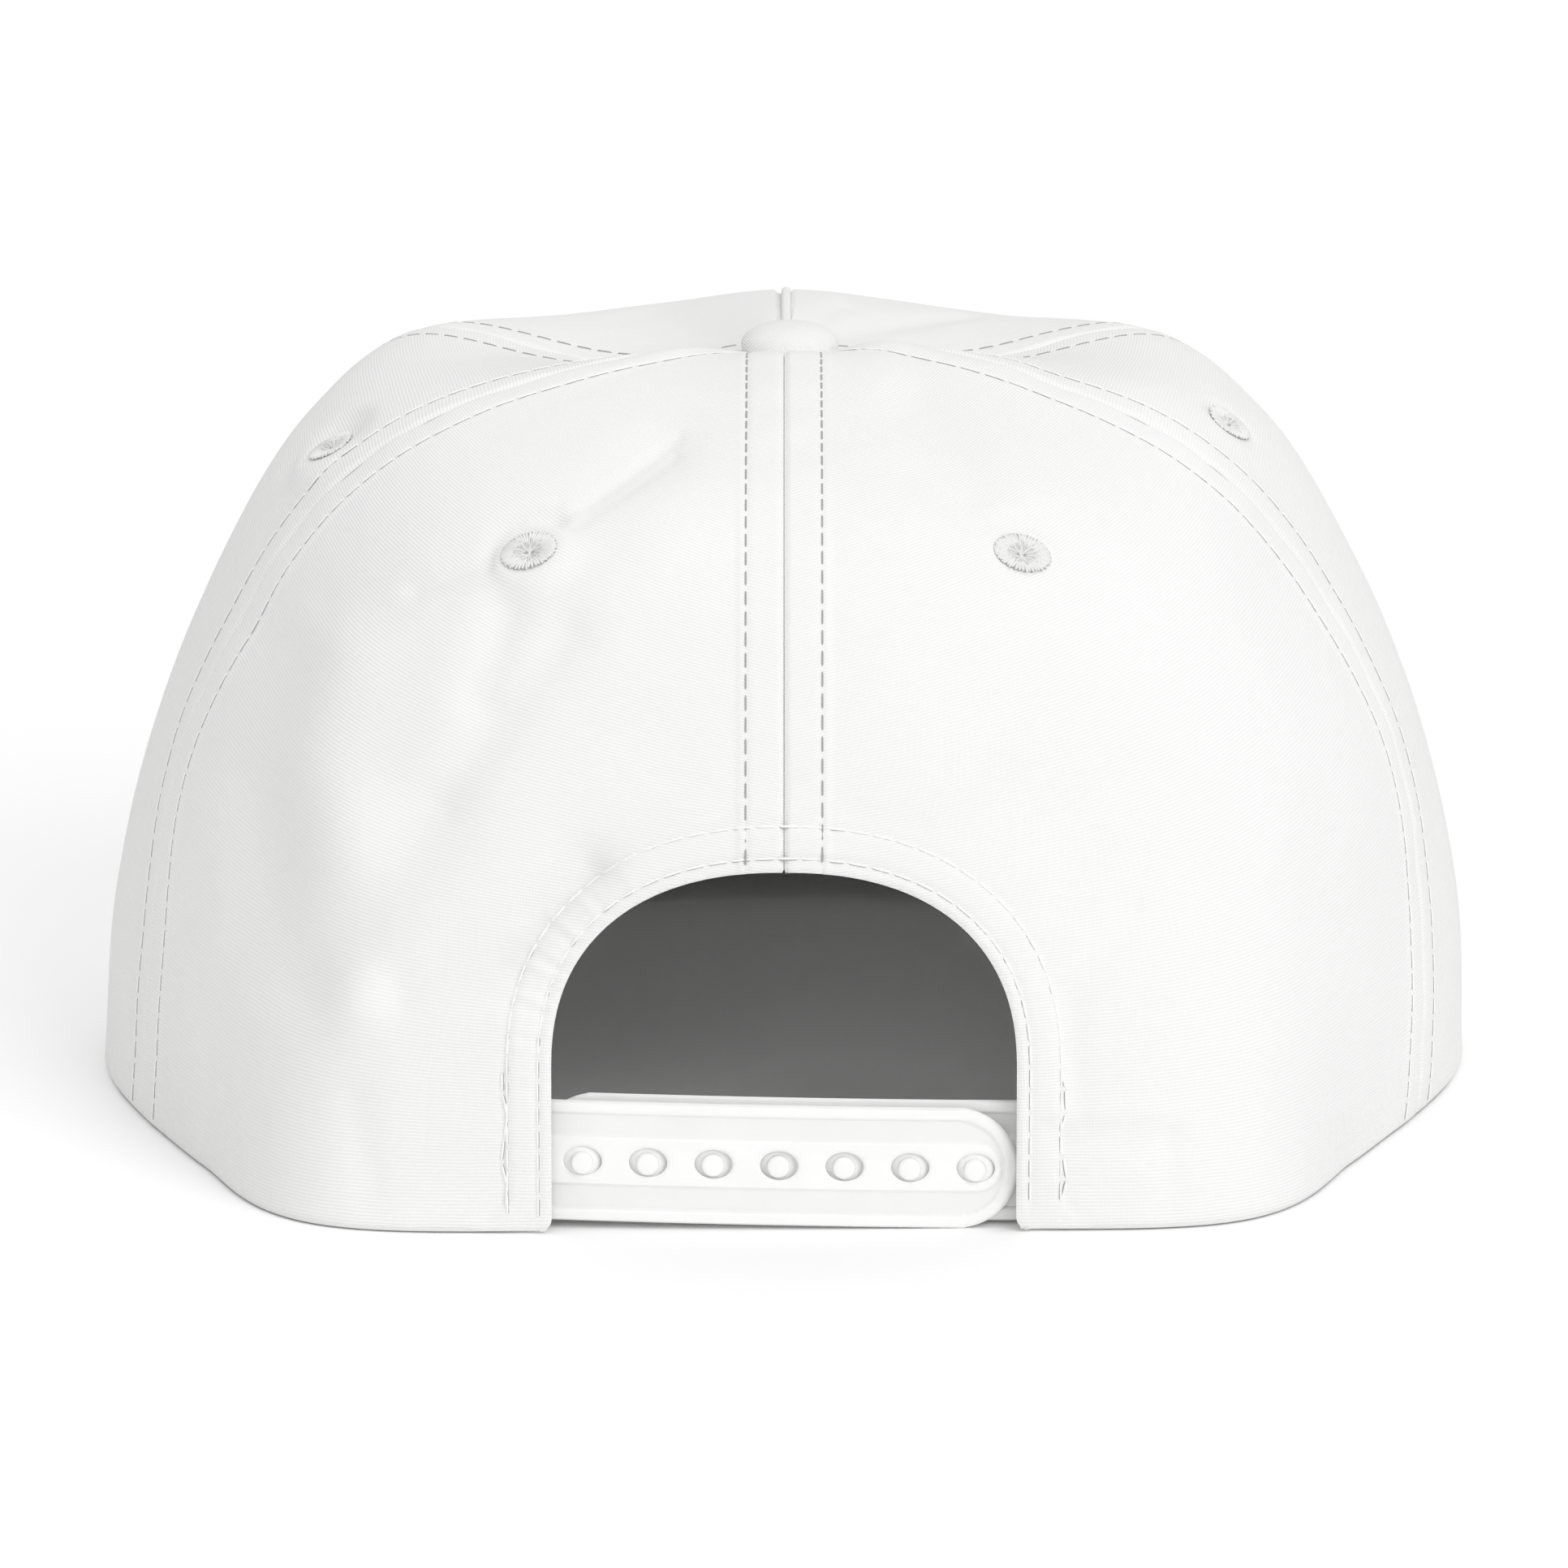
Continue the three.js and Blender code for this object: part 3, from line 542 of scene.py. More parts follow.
def mottle_group():
    """Slow changes of tone over a whole piece."""
    group, given, result = new_group(
        "mottle",
        [("Place", "NodeSocketVector"), ("Spots per Metre", "NodeSocketFloat")],
        [("Tone", "NodeSocketFloat")],
    )
    node = group.nodes.new("ShaderNodeTexNoise")
    node.inputs["Detail"].default_value = 4
    group.links.new(given.outputs["Place"], node.inputs["Vector"])
    group.links.new(given.outputs["Spots per Metre"], node.inputs["Scale"])
    group.links.new(node.outputs["Fac"], result.inputs["Tone"])
    return group


WEAVE = ribbed_weave_group()
MOTTLE = mottle_group()


def new_material(name, roughness, sheen=0.0, specular=0.5):
    material = bpy.data.materials.new(name)
    material.use_nodes = True
    tree = material.node_tree
    shader = tree.nodes["Principled BSDF"]
    shader.inputs["Roughness"].default_value = roughness
    shader.inputs["Sheen Weight"].default_value = sheen
    shader.inputs["Sheen Roughness"].default_value = 0.4
    shader.inputs["Specular IOR Level"].default_value = specular
    return material, tree, shader


def place_group(tree, group, links, values):
    node = tree.nodes.new("ShaderNodeGroup")
    node.node_tree = group
    for title, source in links.items():
        tree.links.new(source, node.inputs[title])
    for title, value in values.items():
        node.inputs[title].default_value = value
    return node


def tone_mix(tree, factor, dark, light):
    node = tree.nodes.new("ShaderNodeMix")
    node.data_type = "RGBA"
    tree.links.new(factor, node.inputs["Factor"])
    node.inputs["A"].default_value = (*dark, 1)
    node.inputs["B"].default_value = (*light, 1)
    return node.outputs["Result"]


def add_bump(tree, shader, height, distance, strength=1.0):
    node = tree.nodes.new("ShaderNodeBump")
    node.inputs["Distance"].default_value = distance
    node.inputs["Strength"].default_value = strength
    tree.links.new(height, node.inputs["Height"])
    tree.links.new(node.outputs["Normal"], shader.inputs["Normal"])
    return node


def cloth_material(name, dark, light):
    material, tree, shader = new_material(name, 0.82, sheen=0.12, specular=0.3)
    lay = tree.nodes.new("ShaderNodeUVMap")
    lay.uv_map = "weave"
    scale = tree.nodes.new("ShaderNodeMapping")
    scale.inputs["Scale"].default_value = (1000 / UV_PER_METRE, 1000 / UV_PER_METRE, 1)
    tree.links.new(lay.outputs["UV"], scale.inputs["Vector"])
    weave = place_group(
        tree, WEAVE, {"Map": scale.outputs[0]}, {"Rib Pitch": WEAVE_RIBS["pitch"], "Unevenness": 0.3})
    where = tree.nodes.new("ShaderNodeTexCoord")
    mottle = place_group(tree, MOTTLE, {"Place": where.outputs["Object"]}, {"Spots per Metre": 45})
    shade = math_node(tree, "MULTIPLY_ADD", mottle.outputs["Tone"], 0.35, -0.17)
    shade = math_node(tree, "ADD", weave.outputs["Shade"], shade)
    tree.links.new(tone_mix(tree, shade, dark, light), shader.inputs["Base Color"])
    add_bump(tree, shader, weave.outputs["Height"], 0.042 * mm)
    return material


def thread_material(name, dark, light):
    material, tree, shader = new_material(name, 0.6, sheen=0.2)
    where = tree.nodes.new("ShaderNodeTexCoord")
    twist = noise_node(tree, where.outputs["Object"], 3200, 2)
    tree.links.new(tone_mix(tree, twist, dark, light), shader.inputs["Base Color"])
    add_bump(tree, shader, twist, 0.05 * mm)
    return material


def plastic_material(name, dark, light):
    material, tree, shader = new_material(name, 0.38)
    where = tree.nodes.new("ShaderNodeTexCoord")
    mottle = place_group(tree, MOTTLE, {"Place": where.outputs["Object"]}, {"Spots per Metre": 160})
    tone = tone_mix(tree, mottle.outputs["Tone"], dark, light)
    tree.links.new(tone, shader.inputs["Base Color"])
    grain = noise_node(tree, where.outputs["Object"], 2600, 3)
    rough = math_node(tree, "MULTIPLY_ADD", grain, 0.16, 0.3)
    tree.links.new(rough, shader.inputs["Roughness"])
    add_bump(tree, shader, grain, 0.015 * mm)
    return material


CLOTH_LOOK = cloth_material("ribbed white cloth", (0.765, 0.765, 0.76), (0.895, 0.895, 0.89))
THREAD_LOOK = thread_material("white thread", (0.8, 0.8, 0.795), (0.95, 0.95, 0.945))
# Painted shade: dark grains laid under the stitches, and dark dashes that stand for thread in shade
STITCH_SHADE_LOOK = thread_material("shaded thread", (0.3, 0.3, 0.3), (0.42, 0.42, 0.42))
# The eyelets' satin thread, darker than the white stitching thread: painted shade of the worked ring
SHADED_SATIN_LOOK = thread_material("satin thread", (0.67, 0.67, 0.665), (0.86, 0.86, 0.855))
# Painted shade: dark grains between an eyelet's satin threads and round its hole
EYELET_SHADE_LOOK = thread_material("shaded satin thread", (0.32, 0.32, 0.32), (0.46, 0.46, 0.46))
PLASTIC_LOOK = plastic_material("white moulded plastic", (0.86, 0.86, 0.855), (0.92, 0.92, 0.915))
# A darker copy of the white plastic for the strap's sunk fields: painted shade
FIELD_SHADE_LOOK = plastic_material("white plastic with painted field shade", (0.81, 0.81, 0.805), (0.87, 0.87, 0.865))


# Making pieces

def finish_piece(bm, name, look, nodes=(), sharp=50, second_look=None):
    mesh = bpy.data.meshes.new(name)
    bm.to_mesh(mesh)
    bm.free()
    mesh.materials.append(look)
    if second_look is not None:
        mesh.materials.append(second_look)
    mesh.polygons.foreach_set("use_smooth", [True] * len(mesh.polygons))
    mesh.set_sharp_from_angle(angle=math.radians(sharp))
    piece = bpy.data.objects.new(name, mesh)
    bpy.context.scene.collection.objects.link(piece)
    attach(piece, "root")
    if nodes:
        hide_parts(*nodes)
    return piece


def thicken(bm, thickness):
    """Gives an open sheet, whose faces point outwards, a wall on its inner side."""
    bmesh.ops.solidify(bm, geom=bm.faces[:], thickness=thickness)
    bmesh.ops.recalc_face_normals(bm, faces=bm.faces[:])


def read_places(bm):
    return np.array([v.co for v in bm.verts])


def write_places(bm, places):
    for vert, place in zip(bm.verts, places):
        vert.co = place


def map_cloth(bm, laid):
    """Writes where each point lay before the cloth was bent, in metres, to the map that the weave reads."""
    layer = bm.loops.layers.uv.new("weave")
    laid = laid * UV_PER_METRE
    bm.verts.index_update()
    for face in bm.faces:
        for loop in face.loops:
            loop[layer].uv = laid[loop.vert.index]


def face_towards(bm, direction):
    """Turns an open sheet's faces to the side that a direction points to."""
    bmesh.ops.recalc_face_normals(bm, faces=bm.faces[:])
    if sum(f.normal.dot(Vector(direction)) * f.calc_area() for f in bm.faces) < 0:
        bmesh.ops.reverse_faces(bm, faces=bm.faces[:])


# Panels

EDGE_BAND = 7 * mm
EDGE_SHARE = 0.17
LEVELS = np.linspace(0, TOP_RING, 211)


def panel_rulers(side, panel):
    """Stations across the panel, their distance from its first seam at each level, and the length of the
    panel's middle line from the rim up to each level."""
    stations = np.linspace(panel["from"], panel["to"], 49)
    grid = crown_point(side, stations[None, :], LEVELS[:, None])
    steps = np.linalg.norm(np.diff(grid, axis=1), axis=-1)
    lengths = np.concatenate([np.zeros((len(LEVELS), 1)), np.cumsum(steps, axis=1)], axis=1)
    middle = (panel["from"] + panel["to"]) / 2
    spine = crown_point(side, np.full(len(LEVELS), middle), LEVELS)
    climb = np.concatenate([[0], np.cumsum(np.linalg.norm(np.diff(spine, axis=0), axis=-1))])
    return stations, lengths, climb


def ruler_at(side, panel, ring):
    """For points by their ring: the panel's stations, a row of their distances from its first seam for
    each point, and how far up the panel each point is."""
    stations, lengths, climb = panel_rulers(side, panel)
    level = np.clip(ring / TOP_RING, 0, 1) * (len(LEVELS) - 1)
    low = np.clip(np.floor(level).astype(int), 0, len(LEVELS) - 2)
    part = (level - low)[:, None]
    ruler = lengths[low] * (1 - part) + lengths[low + 1] * part
    return stations, ruler, np.interp(ring, LEVELS, climb)


def layout_of(station, ring, first, width, along):
    return {
        "station": station, "ring": ring, "first": first, "second": width - first, "width": width,
        "along": along,
    }


def across_panel(share, width):
    """Distance from the first seam, with more columns near both seams than in the middle."""
    band = np.minimum(EDGE_BAND, 0.3 * width)
    near = band * share / EDGE_SHARE
    middle = band + (width - 2 * band) * (share - EDGE_SHARE) / (1 - 2 * EDGE_SHARE)
    far = width - band * (1 - share) / EDGE_SHARE
    return np.where(share < EDGE_SHARE, near, np.where(share > 1 - EDGE_SHARE, far, middle))


def lay_out_panel(side, panel, flat):
    """Places flat grid points on the crown. Returns a dictionary of arrays, one value per point."""
    share = flat[:, 0] + 0.5
    ring = (flat[:, 1] + 0.5) * TOP_RING
    stations, ruler, along = ruler_at(side, panel, ring)
    width = ruler[:, -1]
    first = SEAM_GAP / 2 + across_panel(share, width - SEAM_GAP)
    index = np.clip((ruler < first[:, None]).sum(1) - 1, 0, len(stations) - 2)
    rows = np.arange(len(first))
    start = ruler[rows, index]
    step = ruler[rows, index + 1] - start
    station = stations[index] + (first - start) / step * (stations[1] - stations[0])
    return layout_of(station, ring, first, width, along)


def weave_map(panel, layout, point, normal):
    """Where a point of the cloth lay before the panel was bent. The ribs of a back panel climb away from
    the middle seam. Those of the others cross the panel squarely, so they bend away from a level line."""
    aside = layout["first"] - layout["width"] / 2
    if panel["from"] == BACK:
        climb = GRAIN_BIAS["per_metre"] * np.maximum(layout["along"] - GRAIN_BIAS["from"], 0)
        return np.stack([aside, layout["along"] - aside * climb], -1)
    radius = np.maximum(np.hypot(point[:, 0], point[:, 1]), 9 * mm)
    return np.stack([aside, layout["along"] + aside ** 2 * normal[:, 2] / (2 * radius)], -1)


def measure_across(side, panel, station, ring):
    """The same dictionary as lay_out_panel gives, for points known by station and ring."""
    stations, ruler, along = ruler_at(side, panel, ring)
    first = np.array([np.interp(s, stations, line) for s, line in zip(station, ruler)])
    return layout_of(station, ring, first, ruler[:, -1], along)


def dress(side, panel, layout, snapped=None):
    """Final places of the cloth's outer face, and the crown's normals there."""
    point = crown_point(side, layout["station"], layout["ring"])
    normal = crown_normal(side, layout["station"], layout["ring"])
    hem = None
    if panel["from"] == BACK:
        hem, nearest = arch_distance(point)
        if snapped is not None:
            snapped = snapped | (hem < 0.12 * mm)
            point[snapped, 0] = nearest[snapped, 0]
            point[snapped, 2] = np.maximum(nearest[snapped, 1], 0)
            hem[snapped] = 0
        hem = np.maximum(hem, 0)
    far_kind = "rib" if panel["to"] == FRONT else "seam"
    ends = [("seam", layout["first"]), (far_kind, layout["second"])]
    height = cloth_relief(point, ends, layout["along"], hem)
    places = point + normal * height[:, None] + SHIFT
    places[:, 2] = np.maximum(places[:, 2], RIM_LIFT)
    return places, normal


def cut_arch(bm, side, panel):
    """Deletes the cloth inside the back opening. Returns the points left along the cut."""
    def on_crown():
        layout = lay_out_panel(side, panel, read_places(bm))
        return crown_point(side, layout["station"], layout["ring"])

    near = {v for v, gap in zip(bm.verts, arch_distance(on_crown())[0]) if abs(gap) < 8 * mm}
    edges = [e for e in bm.edges if e.verts[0] in near and e.verts[1] in near]
    bmesh.ops.subdivide_edges(bm, edges=edges, cuts=1, use_grid_fill=True)
    point = on_crown()
    bm.verts.index_update()
    centres = np.array([point[[v.index for v in f.verts]].mean(0) for f in bm.faces])
    inside = [f for f, gap in zip(bm.faces, arch_distance(centres)[0]) if gap < 0]
    touched = {v for f in inside for v in f.verts}
    bmesh.ops.delete(bm, geom=inside, context="FACES")
    return {v for v in touched if v.is_valid}


def open_eyelet_holes(bm, name):
    for eyelet in EYELETS:
        if eyelet["panel"] != name:
            continue
        centre = Vector(crown_point(eyelet["side"], eyelet["station"], eyelet["ring"]) + SHIFT)
        hole = [f for f in bm.faces if (f.calc_center_median() - centre).length < EYELET["hole"]]
        bmesh.ops.delete(bm, geom=hole, context="FACES")


def make_panel(side_name, side, panel):
    name = f"{panel['name']}_{side_name}"
    bm = bmesh.new()
    bmesh.ops.create_grid(bm, x_segments=panel["columns"], y_segments=panel["rows"], size=0.5)
    on_edge = cut_arch(bm, side, panel) if panel["from"] == BACK else set()
    layout = lay_out_panel(side, panel, read_places(bm))
    snapped = np.array([v in on_edge for v in bm.verts])
    places, normal = dress(side, panel, layout, snapped)
    write_places(bm, places)
    map_cloth(bm, weave_map(panel, layout, places - SHIFT, normal))
    if side < 0:
        bmesh.ops.reverse_faces(bm, faces=bm.faces[:])
    open_eyelet_holes(bm, name)
    thicken(bm, CLOTH)
    for vert in bm.verts:
        vert.co.z = max(vert.co.z, RIM_LIFT)
    return finish_piece(bm, name, CLOTH_LOOK, [name])


# Stitches

def lay_grain(bm, middle, along, up, length, width, segments=6, rings=5):
    """A short rounded length of thread that lies on the cloth. Returns its points."""
    along = Vector(along).normalized()
    across = Vector(up).cross(along).normalized()
    up = along.cross(across)
    turn = Matrix((across * width / 2, up * width / 2, along * length / 2)).transposed()
    made = bmesh.ops.create_uvsphere(bm, u_segments=segments, v_segments=rings, radius=1)
    for vert in made["verts"]:
        blunt = 1 + abs(vert.co.z) ** 3
        vert.co = Vector(middle) + turn @ Vector((vert.co.x * blunt, vert.co.y * blunt, vert.co.z))
    return made["verts"]


class Pile:
    """A growing mesh. New shapes start in a small one, which keeps each step quick."""

    def __init__(self):
        self.whole = bmesh.new()
        self.part = bmesh.new()

    def flush(self, limit=0):
        if len(self.part.verts) > limit:
            mesh = bpy.data.meshes.new("part")
            self.part.to_mesh(mesh)
            self.whole.from_mesh(mesh)
            self.part.clear()
            bpy.data.meshes.remove(mesh)

    def take(self):
        self.flush()
        self.part.free()
        return self.whole


class Sewing:
    """Collects a seam's stitches and the dark grains of painted shade that go with them."""

    def __init__(self):
        self.thread = Pile()
        self.painted_shade = Pile()

    def sew(self, places, normals, shade_dash_above=math.inf):
        """Sews from each needle hole to the next, each stitch with a dark grain of painted shade under it.
        Above a height only a short dark dash of painted shade stands for the thread.
        """
        for index, step in enumerate(np.diff(places, axis=0)):
            length = np.linalg.norm(step)
            up = normals[index] + normals[index + 1]
            up = up / np.linalg.norm(up)
            aside = np.cross(step / length, up)
            middle = (places[index] + places[index + 1]) / 2
            if aside[0] * middle[0] > 0:
                aside = -aside
            # Above the set height a dark dash of painted shade stands in for the thread
            if middle[2] > shade_dash_above:
                long = length * STITCH["shade_dash_share"]
                dash = middle + up * STITCH["shade_dash_lift"]
                lay_grain(self.painted_shade.part, dash, step, up, long, STITCH["shade_dash_width"])
            else:
                # A dark grain of painted shade, a little under the thread and to one side of it
                shade_grain = middle + aside * STITCH["shade_grain_aside"] - up * STITCH["shade_grain_depth"]
                lay_grain(self.painted_shade.part, shade_grain, step, up, length * STITCH["shade_grain_share"], STITCH["shade_grain"])
                thread = middle + up * STITCH["lift"]
                lay_grain(self.thread.part, thread, step, up, length * STITCH["share"], STITCH["width"])
            self.thread.flush(2000)
            self.painted_shade.flush(2000)

    def finish(self, name):
        finish_piece(self.thread.take(), f"{name}_thread", THREAD_LOOK)
        finish_piece(self.painted_shade.take(), f"{name}_slots", STITCH_SHADE_LOOK)


def row_beside_seam(side, panel, end):
    """Needle holes on the row that keeps an allowance's distance from a seam, from the rim up."""
    stations, lengths, climb = panel_rulers(side, panel)
    widths = lengths[:, -1]
    wanted = widths - ALLOWANCE if end == "second" else np.full_like(widths, ALLOWANCE)
    line = np.array([np.interp(w, run, stations) for w, run in zip(wanted, lengths)])
    room = widths > 2 * ALLOWANCE
    steps = np.arange(0.4, climb[room].max() / STITCH["pitch"], 1) * STITCH["pitch"]
    ring = np.interp(steps, climb, LEVELS)
    station = np.interp(ring, LEVELS, line)
    layout = measure_across(side, panel, station, ring)
    places, normal = dress(side, panel, layout)
    if panel["from"] == BACK:
        keep = arch_distance(places)[0] > 0.5 * mm
        places, normal = places[keep], normal[keep]
    return places, normal


def sew_seams():
    for side_name, side in SIDES.items():
        for panel in PANELS:
            sewing = Sewing()
            for end, shade_dash_above in zip(("first", "second"), panel["shade_dash_above"]):
                sewing.sew(*row_beside_seam(side, panel, end), shade_dash_above)
            sewing.finish(f"{panel['name']}_{side_name}_topstitch")


def row_round_arch(distance, sway=0.0, below=math.inf):
    """Needle holes on a row round the back opening. With sway, the row wanders as a second pass does."""
    tangent = np.gradient(SEWN_OUTLINE, axis=0)
    tangent = tangent / np.linalg.norm(tangent, axis=-1, keepdims=True)
    outward = np.stack([tangent[:, 1], -tangent[:, 0]], -1)
    line = SEWN_OUTLINE + outward * distance
    length = np.concatenate([[0], np.cumsum(np.linalg.norm(np.diff(line, axis=0), axis=-1))])
    steps = np.arange(0, length[-1], STITCH["pitch"])
    x = np.interp(steps, length, line[:, 0])
    z = np.interp(steps, length, line[:, 1])
    x = x + sway * np.sin(np.arange(len(x)) * 1.9)
    keep = (z > 1.2 * mm) & (z < below)
    x, z = x[keep], z[keep]
    side, station, ring = crown_place(x, z)
    places = np.zeros((len(x), 3))
    normals = np.zeros((len(x), 3))
    for sign in SIDES.values():
        mine = side == sign
        layout = measure_across(sign, PANELS[0], station[mine], ring[mine])
        places[mine], normals[mine] = dress(sign, PANELS[0], layout)
    return places, normals


def sew_arch():
    sewing = Sewing()
    for distance in HEM["rows"]:
        sewing.sew(*row_round_arch(distance))
    outer = HEM["rows"][1] + SECOND_PASS["aside"]
    places, normals = row_round_arch(outer, SECOND_PASS["sway"], SECOND_PASS["below"])
    for sign in SIDES.values():
        mine = np.sign(places[:, 0]) == sign
        sewing.sew(places[mine], normals[mine])
    sewing.finish("back_opening_topstitch")


# Eyelets

def eyelet_height(distance):
    """Height of the worked thread over the cloth: a low ring that falls to the middle as a funnel."""
    ring = smoothstep(EYELET["radius"] * 1.05, EYELET["radius"] * 0.82, distance)
    funnel = 1 - smoothstep(0, EYELET["radius"] * 0.7, distance)
    return EYELET["rise"] * ring - EYELET["funnel"] * funnel ** 1.3


def lay_ray(bm, centre, up, ray, start, end, width, lift):
    """One thread of an eyelet, laid from its middle outwards over its ring."""
    middle = centre + ray * (start + end) / 2
    for vert in lay_grain(bm, middle, ray, up, end - start, width, 5, 8):
        gap = np.array(vert.co) - centre
        out = float(np.linalg.norm(gap - up * (gap @ up)))
        vert.co = Vector(np.array(vert.co) + up * (float(eyelet_height(out)) + lift))


def make_eyelet(eyelet):
    place = (np.array([eyelet["station"]]), np.array([eyelet["ring"]]))
    panel = PANELS[0] if eyelet["station"] < BACK_SEAM else PANELS[1]
    places, normals = dress(eyelet["side"], panel, measure_across(eyelet["side"], panel, *place))
    centre = places[0]
    up = normals[0] - np.array(eyelet["lean"])
    up = up / np.linalg.norm(up)
    level = np.cross(up, (0, 0, 1))
    level = level / np.linalg.norm(level)
    rise = np.cross(level, up)
    slant = math.radians(EYELET["slant"]) * eyelet["side"]
    long = level * math.cos(slant) + rise * math.sin(slant)
    short = (rise * math.cos(slant) - level * math.sin(slant)) * EYELET["squash"]
    thread = bmesh.new()
    # Dark grains of painted shade between the threads and round the hole
    gaps = bmesh.new()
    count = EYELET["threads"]
    for index in range(count):
        uneven = math.sin(index * 2.3) * 0.5 + math.sin(index * 5.1) * 0.5
        reach = EYELET["radius"] * (1 + 0.025 * math.sin(index * 3.7))
        # Satin threads, then dark grains of painted shade between them and darker rays of painted shade
        # that run out from the hole
        for bm, turn, start, end, width, lift in (
            (thread, 0.18 * uneven, 0.4 * mm, reach, 0.44 * mm, 0.04 * mm * uneven),
            (gaps, 0.5, 0.3 * mm, reach, 0.3 * mm, -0.06 * mm),
            (gaps, 0.5, 0.3 * mm, (2.2 + 0.7 * uneven) * mm, 0.18 * mm, 0.11 * mm),
        ):
            angle = 2 * math.pi * (index + turn) / count
            ray = long * math.cos(angle) + short * math.sin(angle)
            lay_ray(bm, centre, up, ray, start, end, width, lift)
    finish_piece(thread, eyelet["name"], SHADED_SATIN_LOOK, [eyelet["name"]])
    finish_piece(gaps, f"{eyelet['name']}_gaps", EYELET_SHADE_LOOK)


# Pinched seam down the front

def make_front_rib():
    """A thin roll of cloth that stands up from the trench between the front panels."""
    bm = bmesh.new()
    bmesh.ops.create_grid(bm, x_segments=14, y_segments=220, size=0.5)
    flat = read_places(bm)
    ring = (flat[:, 1] + 0.5) * (TOP_RING - 0.1)
    station = np.full_like(ring, FRONT)
    point = crown_point(1, station, ring)
    normal = crown_normal(1, station, ring)
    turn = flat[:, 0] * 2 * math.pi * RIB["wrap"]
    across = RIB["half_width"] * np.sin(turn)
    rise = (RIB["height"] + RIB["trench"]) * (np.cos(turn) + 1) / 2 - RIB["trench"]
    places = point + normal * rise[:, None] + SHIFT
    places[:, 0] += across + RIB["across"]
    write_places(bm, places)
    map_cloth(bm, np.stack([flat[:, 0] * RIB["girth"], ring * RIB["ring_step"]], -1))
    face_towards(bm, (0, 0, 1))
    finish_piece(bm, "front_seam_rib", CLOTH_LOOK)


# Button

def make_button():
    """A flat dome, whose cover is cut on the slant."""
    bm = bmesh.new()
    bmesh.ops.create_uvsphere(bm, u_segments=72, v_segments=48, radius=1)
    for vert in bm.verts:
        flat = math.hypot(vert.co.x, vert.co.y)
        swell = flat ** BUTTON["fullness"] / flat if flat > 1e-6 else 1
        rise = (BUTTON["top"] - BUTTON["seat"]) if vert.co.z > 0 else BUTTON["under"]
        vert.co.x = vert.co.x * swell * BUTTON["radius"] + BUTTON["across"]
        vert.co.y = vert.co.y * swell * BUTTON["radius"] - MIDDLE_Y
        vert.co.z = BUTTON["seat"] + vert.co.z * rise
    x, y, z = read_places(bm).T * BUTTON["fineness"]
    map_cloth(bm, np.stack([y - 0.35 * x, 0.95 * x + 0.3 * y + 0.5 * z], -1))
    return finish_piece(bm, "button", CLOTH_LOOK, ["button"])


# Snap strap

def snap_places():
    """Middles of the holes, across and up the outer half."""
    spots = []
    for index in range(SNAPS["count"]):
        x = SNAPS["middle"] + (index - (SNAPS["count"] - 1) / 2) * SNAPS["pitch"]
        spots.append((x, STRAP_HALVES[0]["height"] + STRAP["slope"] * x))
    return spots


def step_up(distance, edge):
    """A moulded step: 1 where distance is under edge, 0 beyond it, with a soft corner."""
    return 1 - smoothstep(edge - 0.08 * mm, edge + 0.3 * mm, distance)


def make_strap(half):
    side, tip = half["side"], half["tip"]
    centre = tip - STRAP["half_width"]
    bm = bmesh.new()
    bmesh.ops.create_grid(bm, x_segments=260, y_segments=60, size=0.5)
    length = tip + STRAP["sewn_to"]
    for vert in bm.verts:
        vert.co.x = (vert.co.x + 0.5) * length - STRAP["sewn_to"]
        vert.co.y = vert.co.y * 2 * STRAP["half_width"]
    round_off(bm, lambda p: (p - Vector((centre, 0, 0))).length if p.x > centre else 0, STRAP["half_width"])
    if half["name"] == "strap_with_holes":
        for x, _ in snap_places():
            cut_snap_hole(bm, x)
    flat = read_places(bm)
    along, across = flat[:, 0], flat[:, 1]
    from_core = np.hypot(np.maximum(along - centre, 0), across)
    band_end = tip - STRAP["border"] - STRAP["band_margin"] - STRAP["band"]
    from_band = np.hypot(np.maximum(along - band_end, 0), across)
    edge = STRAP["half_width"] - from_core
    raised = np.maximum(step_up(edge, STRAP["border"]), step_up(from_band, STRAP["band"]))
    sunk = STRAP["relief"] * (1 - raised) + STRAP["corner_drop"] * round_down(edge / STRAP["corner"])
    if half["name"] == "strap_with_holes":
        for x, _ in snap_places():
            gap = np.hypot((along - x) / SNAPS["half_width"], across / SNAPS["half_height"]) - 1
            lip = np.clip(1 - gap * SNAPS["half_height"] / SNAPS["lip"], 0, 1)
            sunk = sunk + SNAPS["lip_drop"] * lip ** 2
    bm.verts.index_update()
    # Faces of the sunk fields take the darker plastic, as painted shade
    for face in bm.faces:
        face.material_index = int(np.mean([raised[v.index] for v in face.verts]) < 0.5)
    if half["name"] == "strap_with_pegs":
        sunk = sunk - STRAP["pad"] * step_up(from_band, STRAP["band"])
    x = side * along
    ramp = half["ramp"] * smoothstep(32 * mm, 42 * mm, -along)
    y = half["face"] + x ** 2 / (2 * STRAP["bend"]) - ramp + sunk
    z = half["height"] + STRAP["slope"] * x + across
    write_places(bm, np.stack([x, y, z], -1) + SHIFT)
    face_towards(bm, (0, -1, 0))
    thicken(bm, STRAP["thickness"])
    if half["name"] == "strap_with_pegs":
        add_pegs(bm)
    return finish_piece(
        bm, half["name"], PLASTIC_LOOK, [half["name"]], sharp=40, second_look=FIELD_SHADE_LOOK)


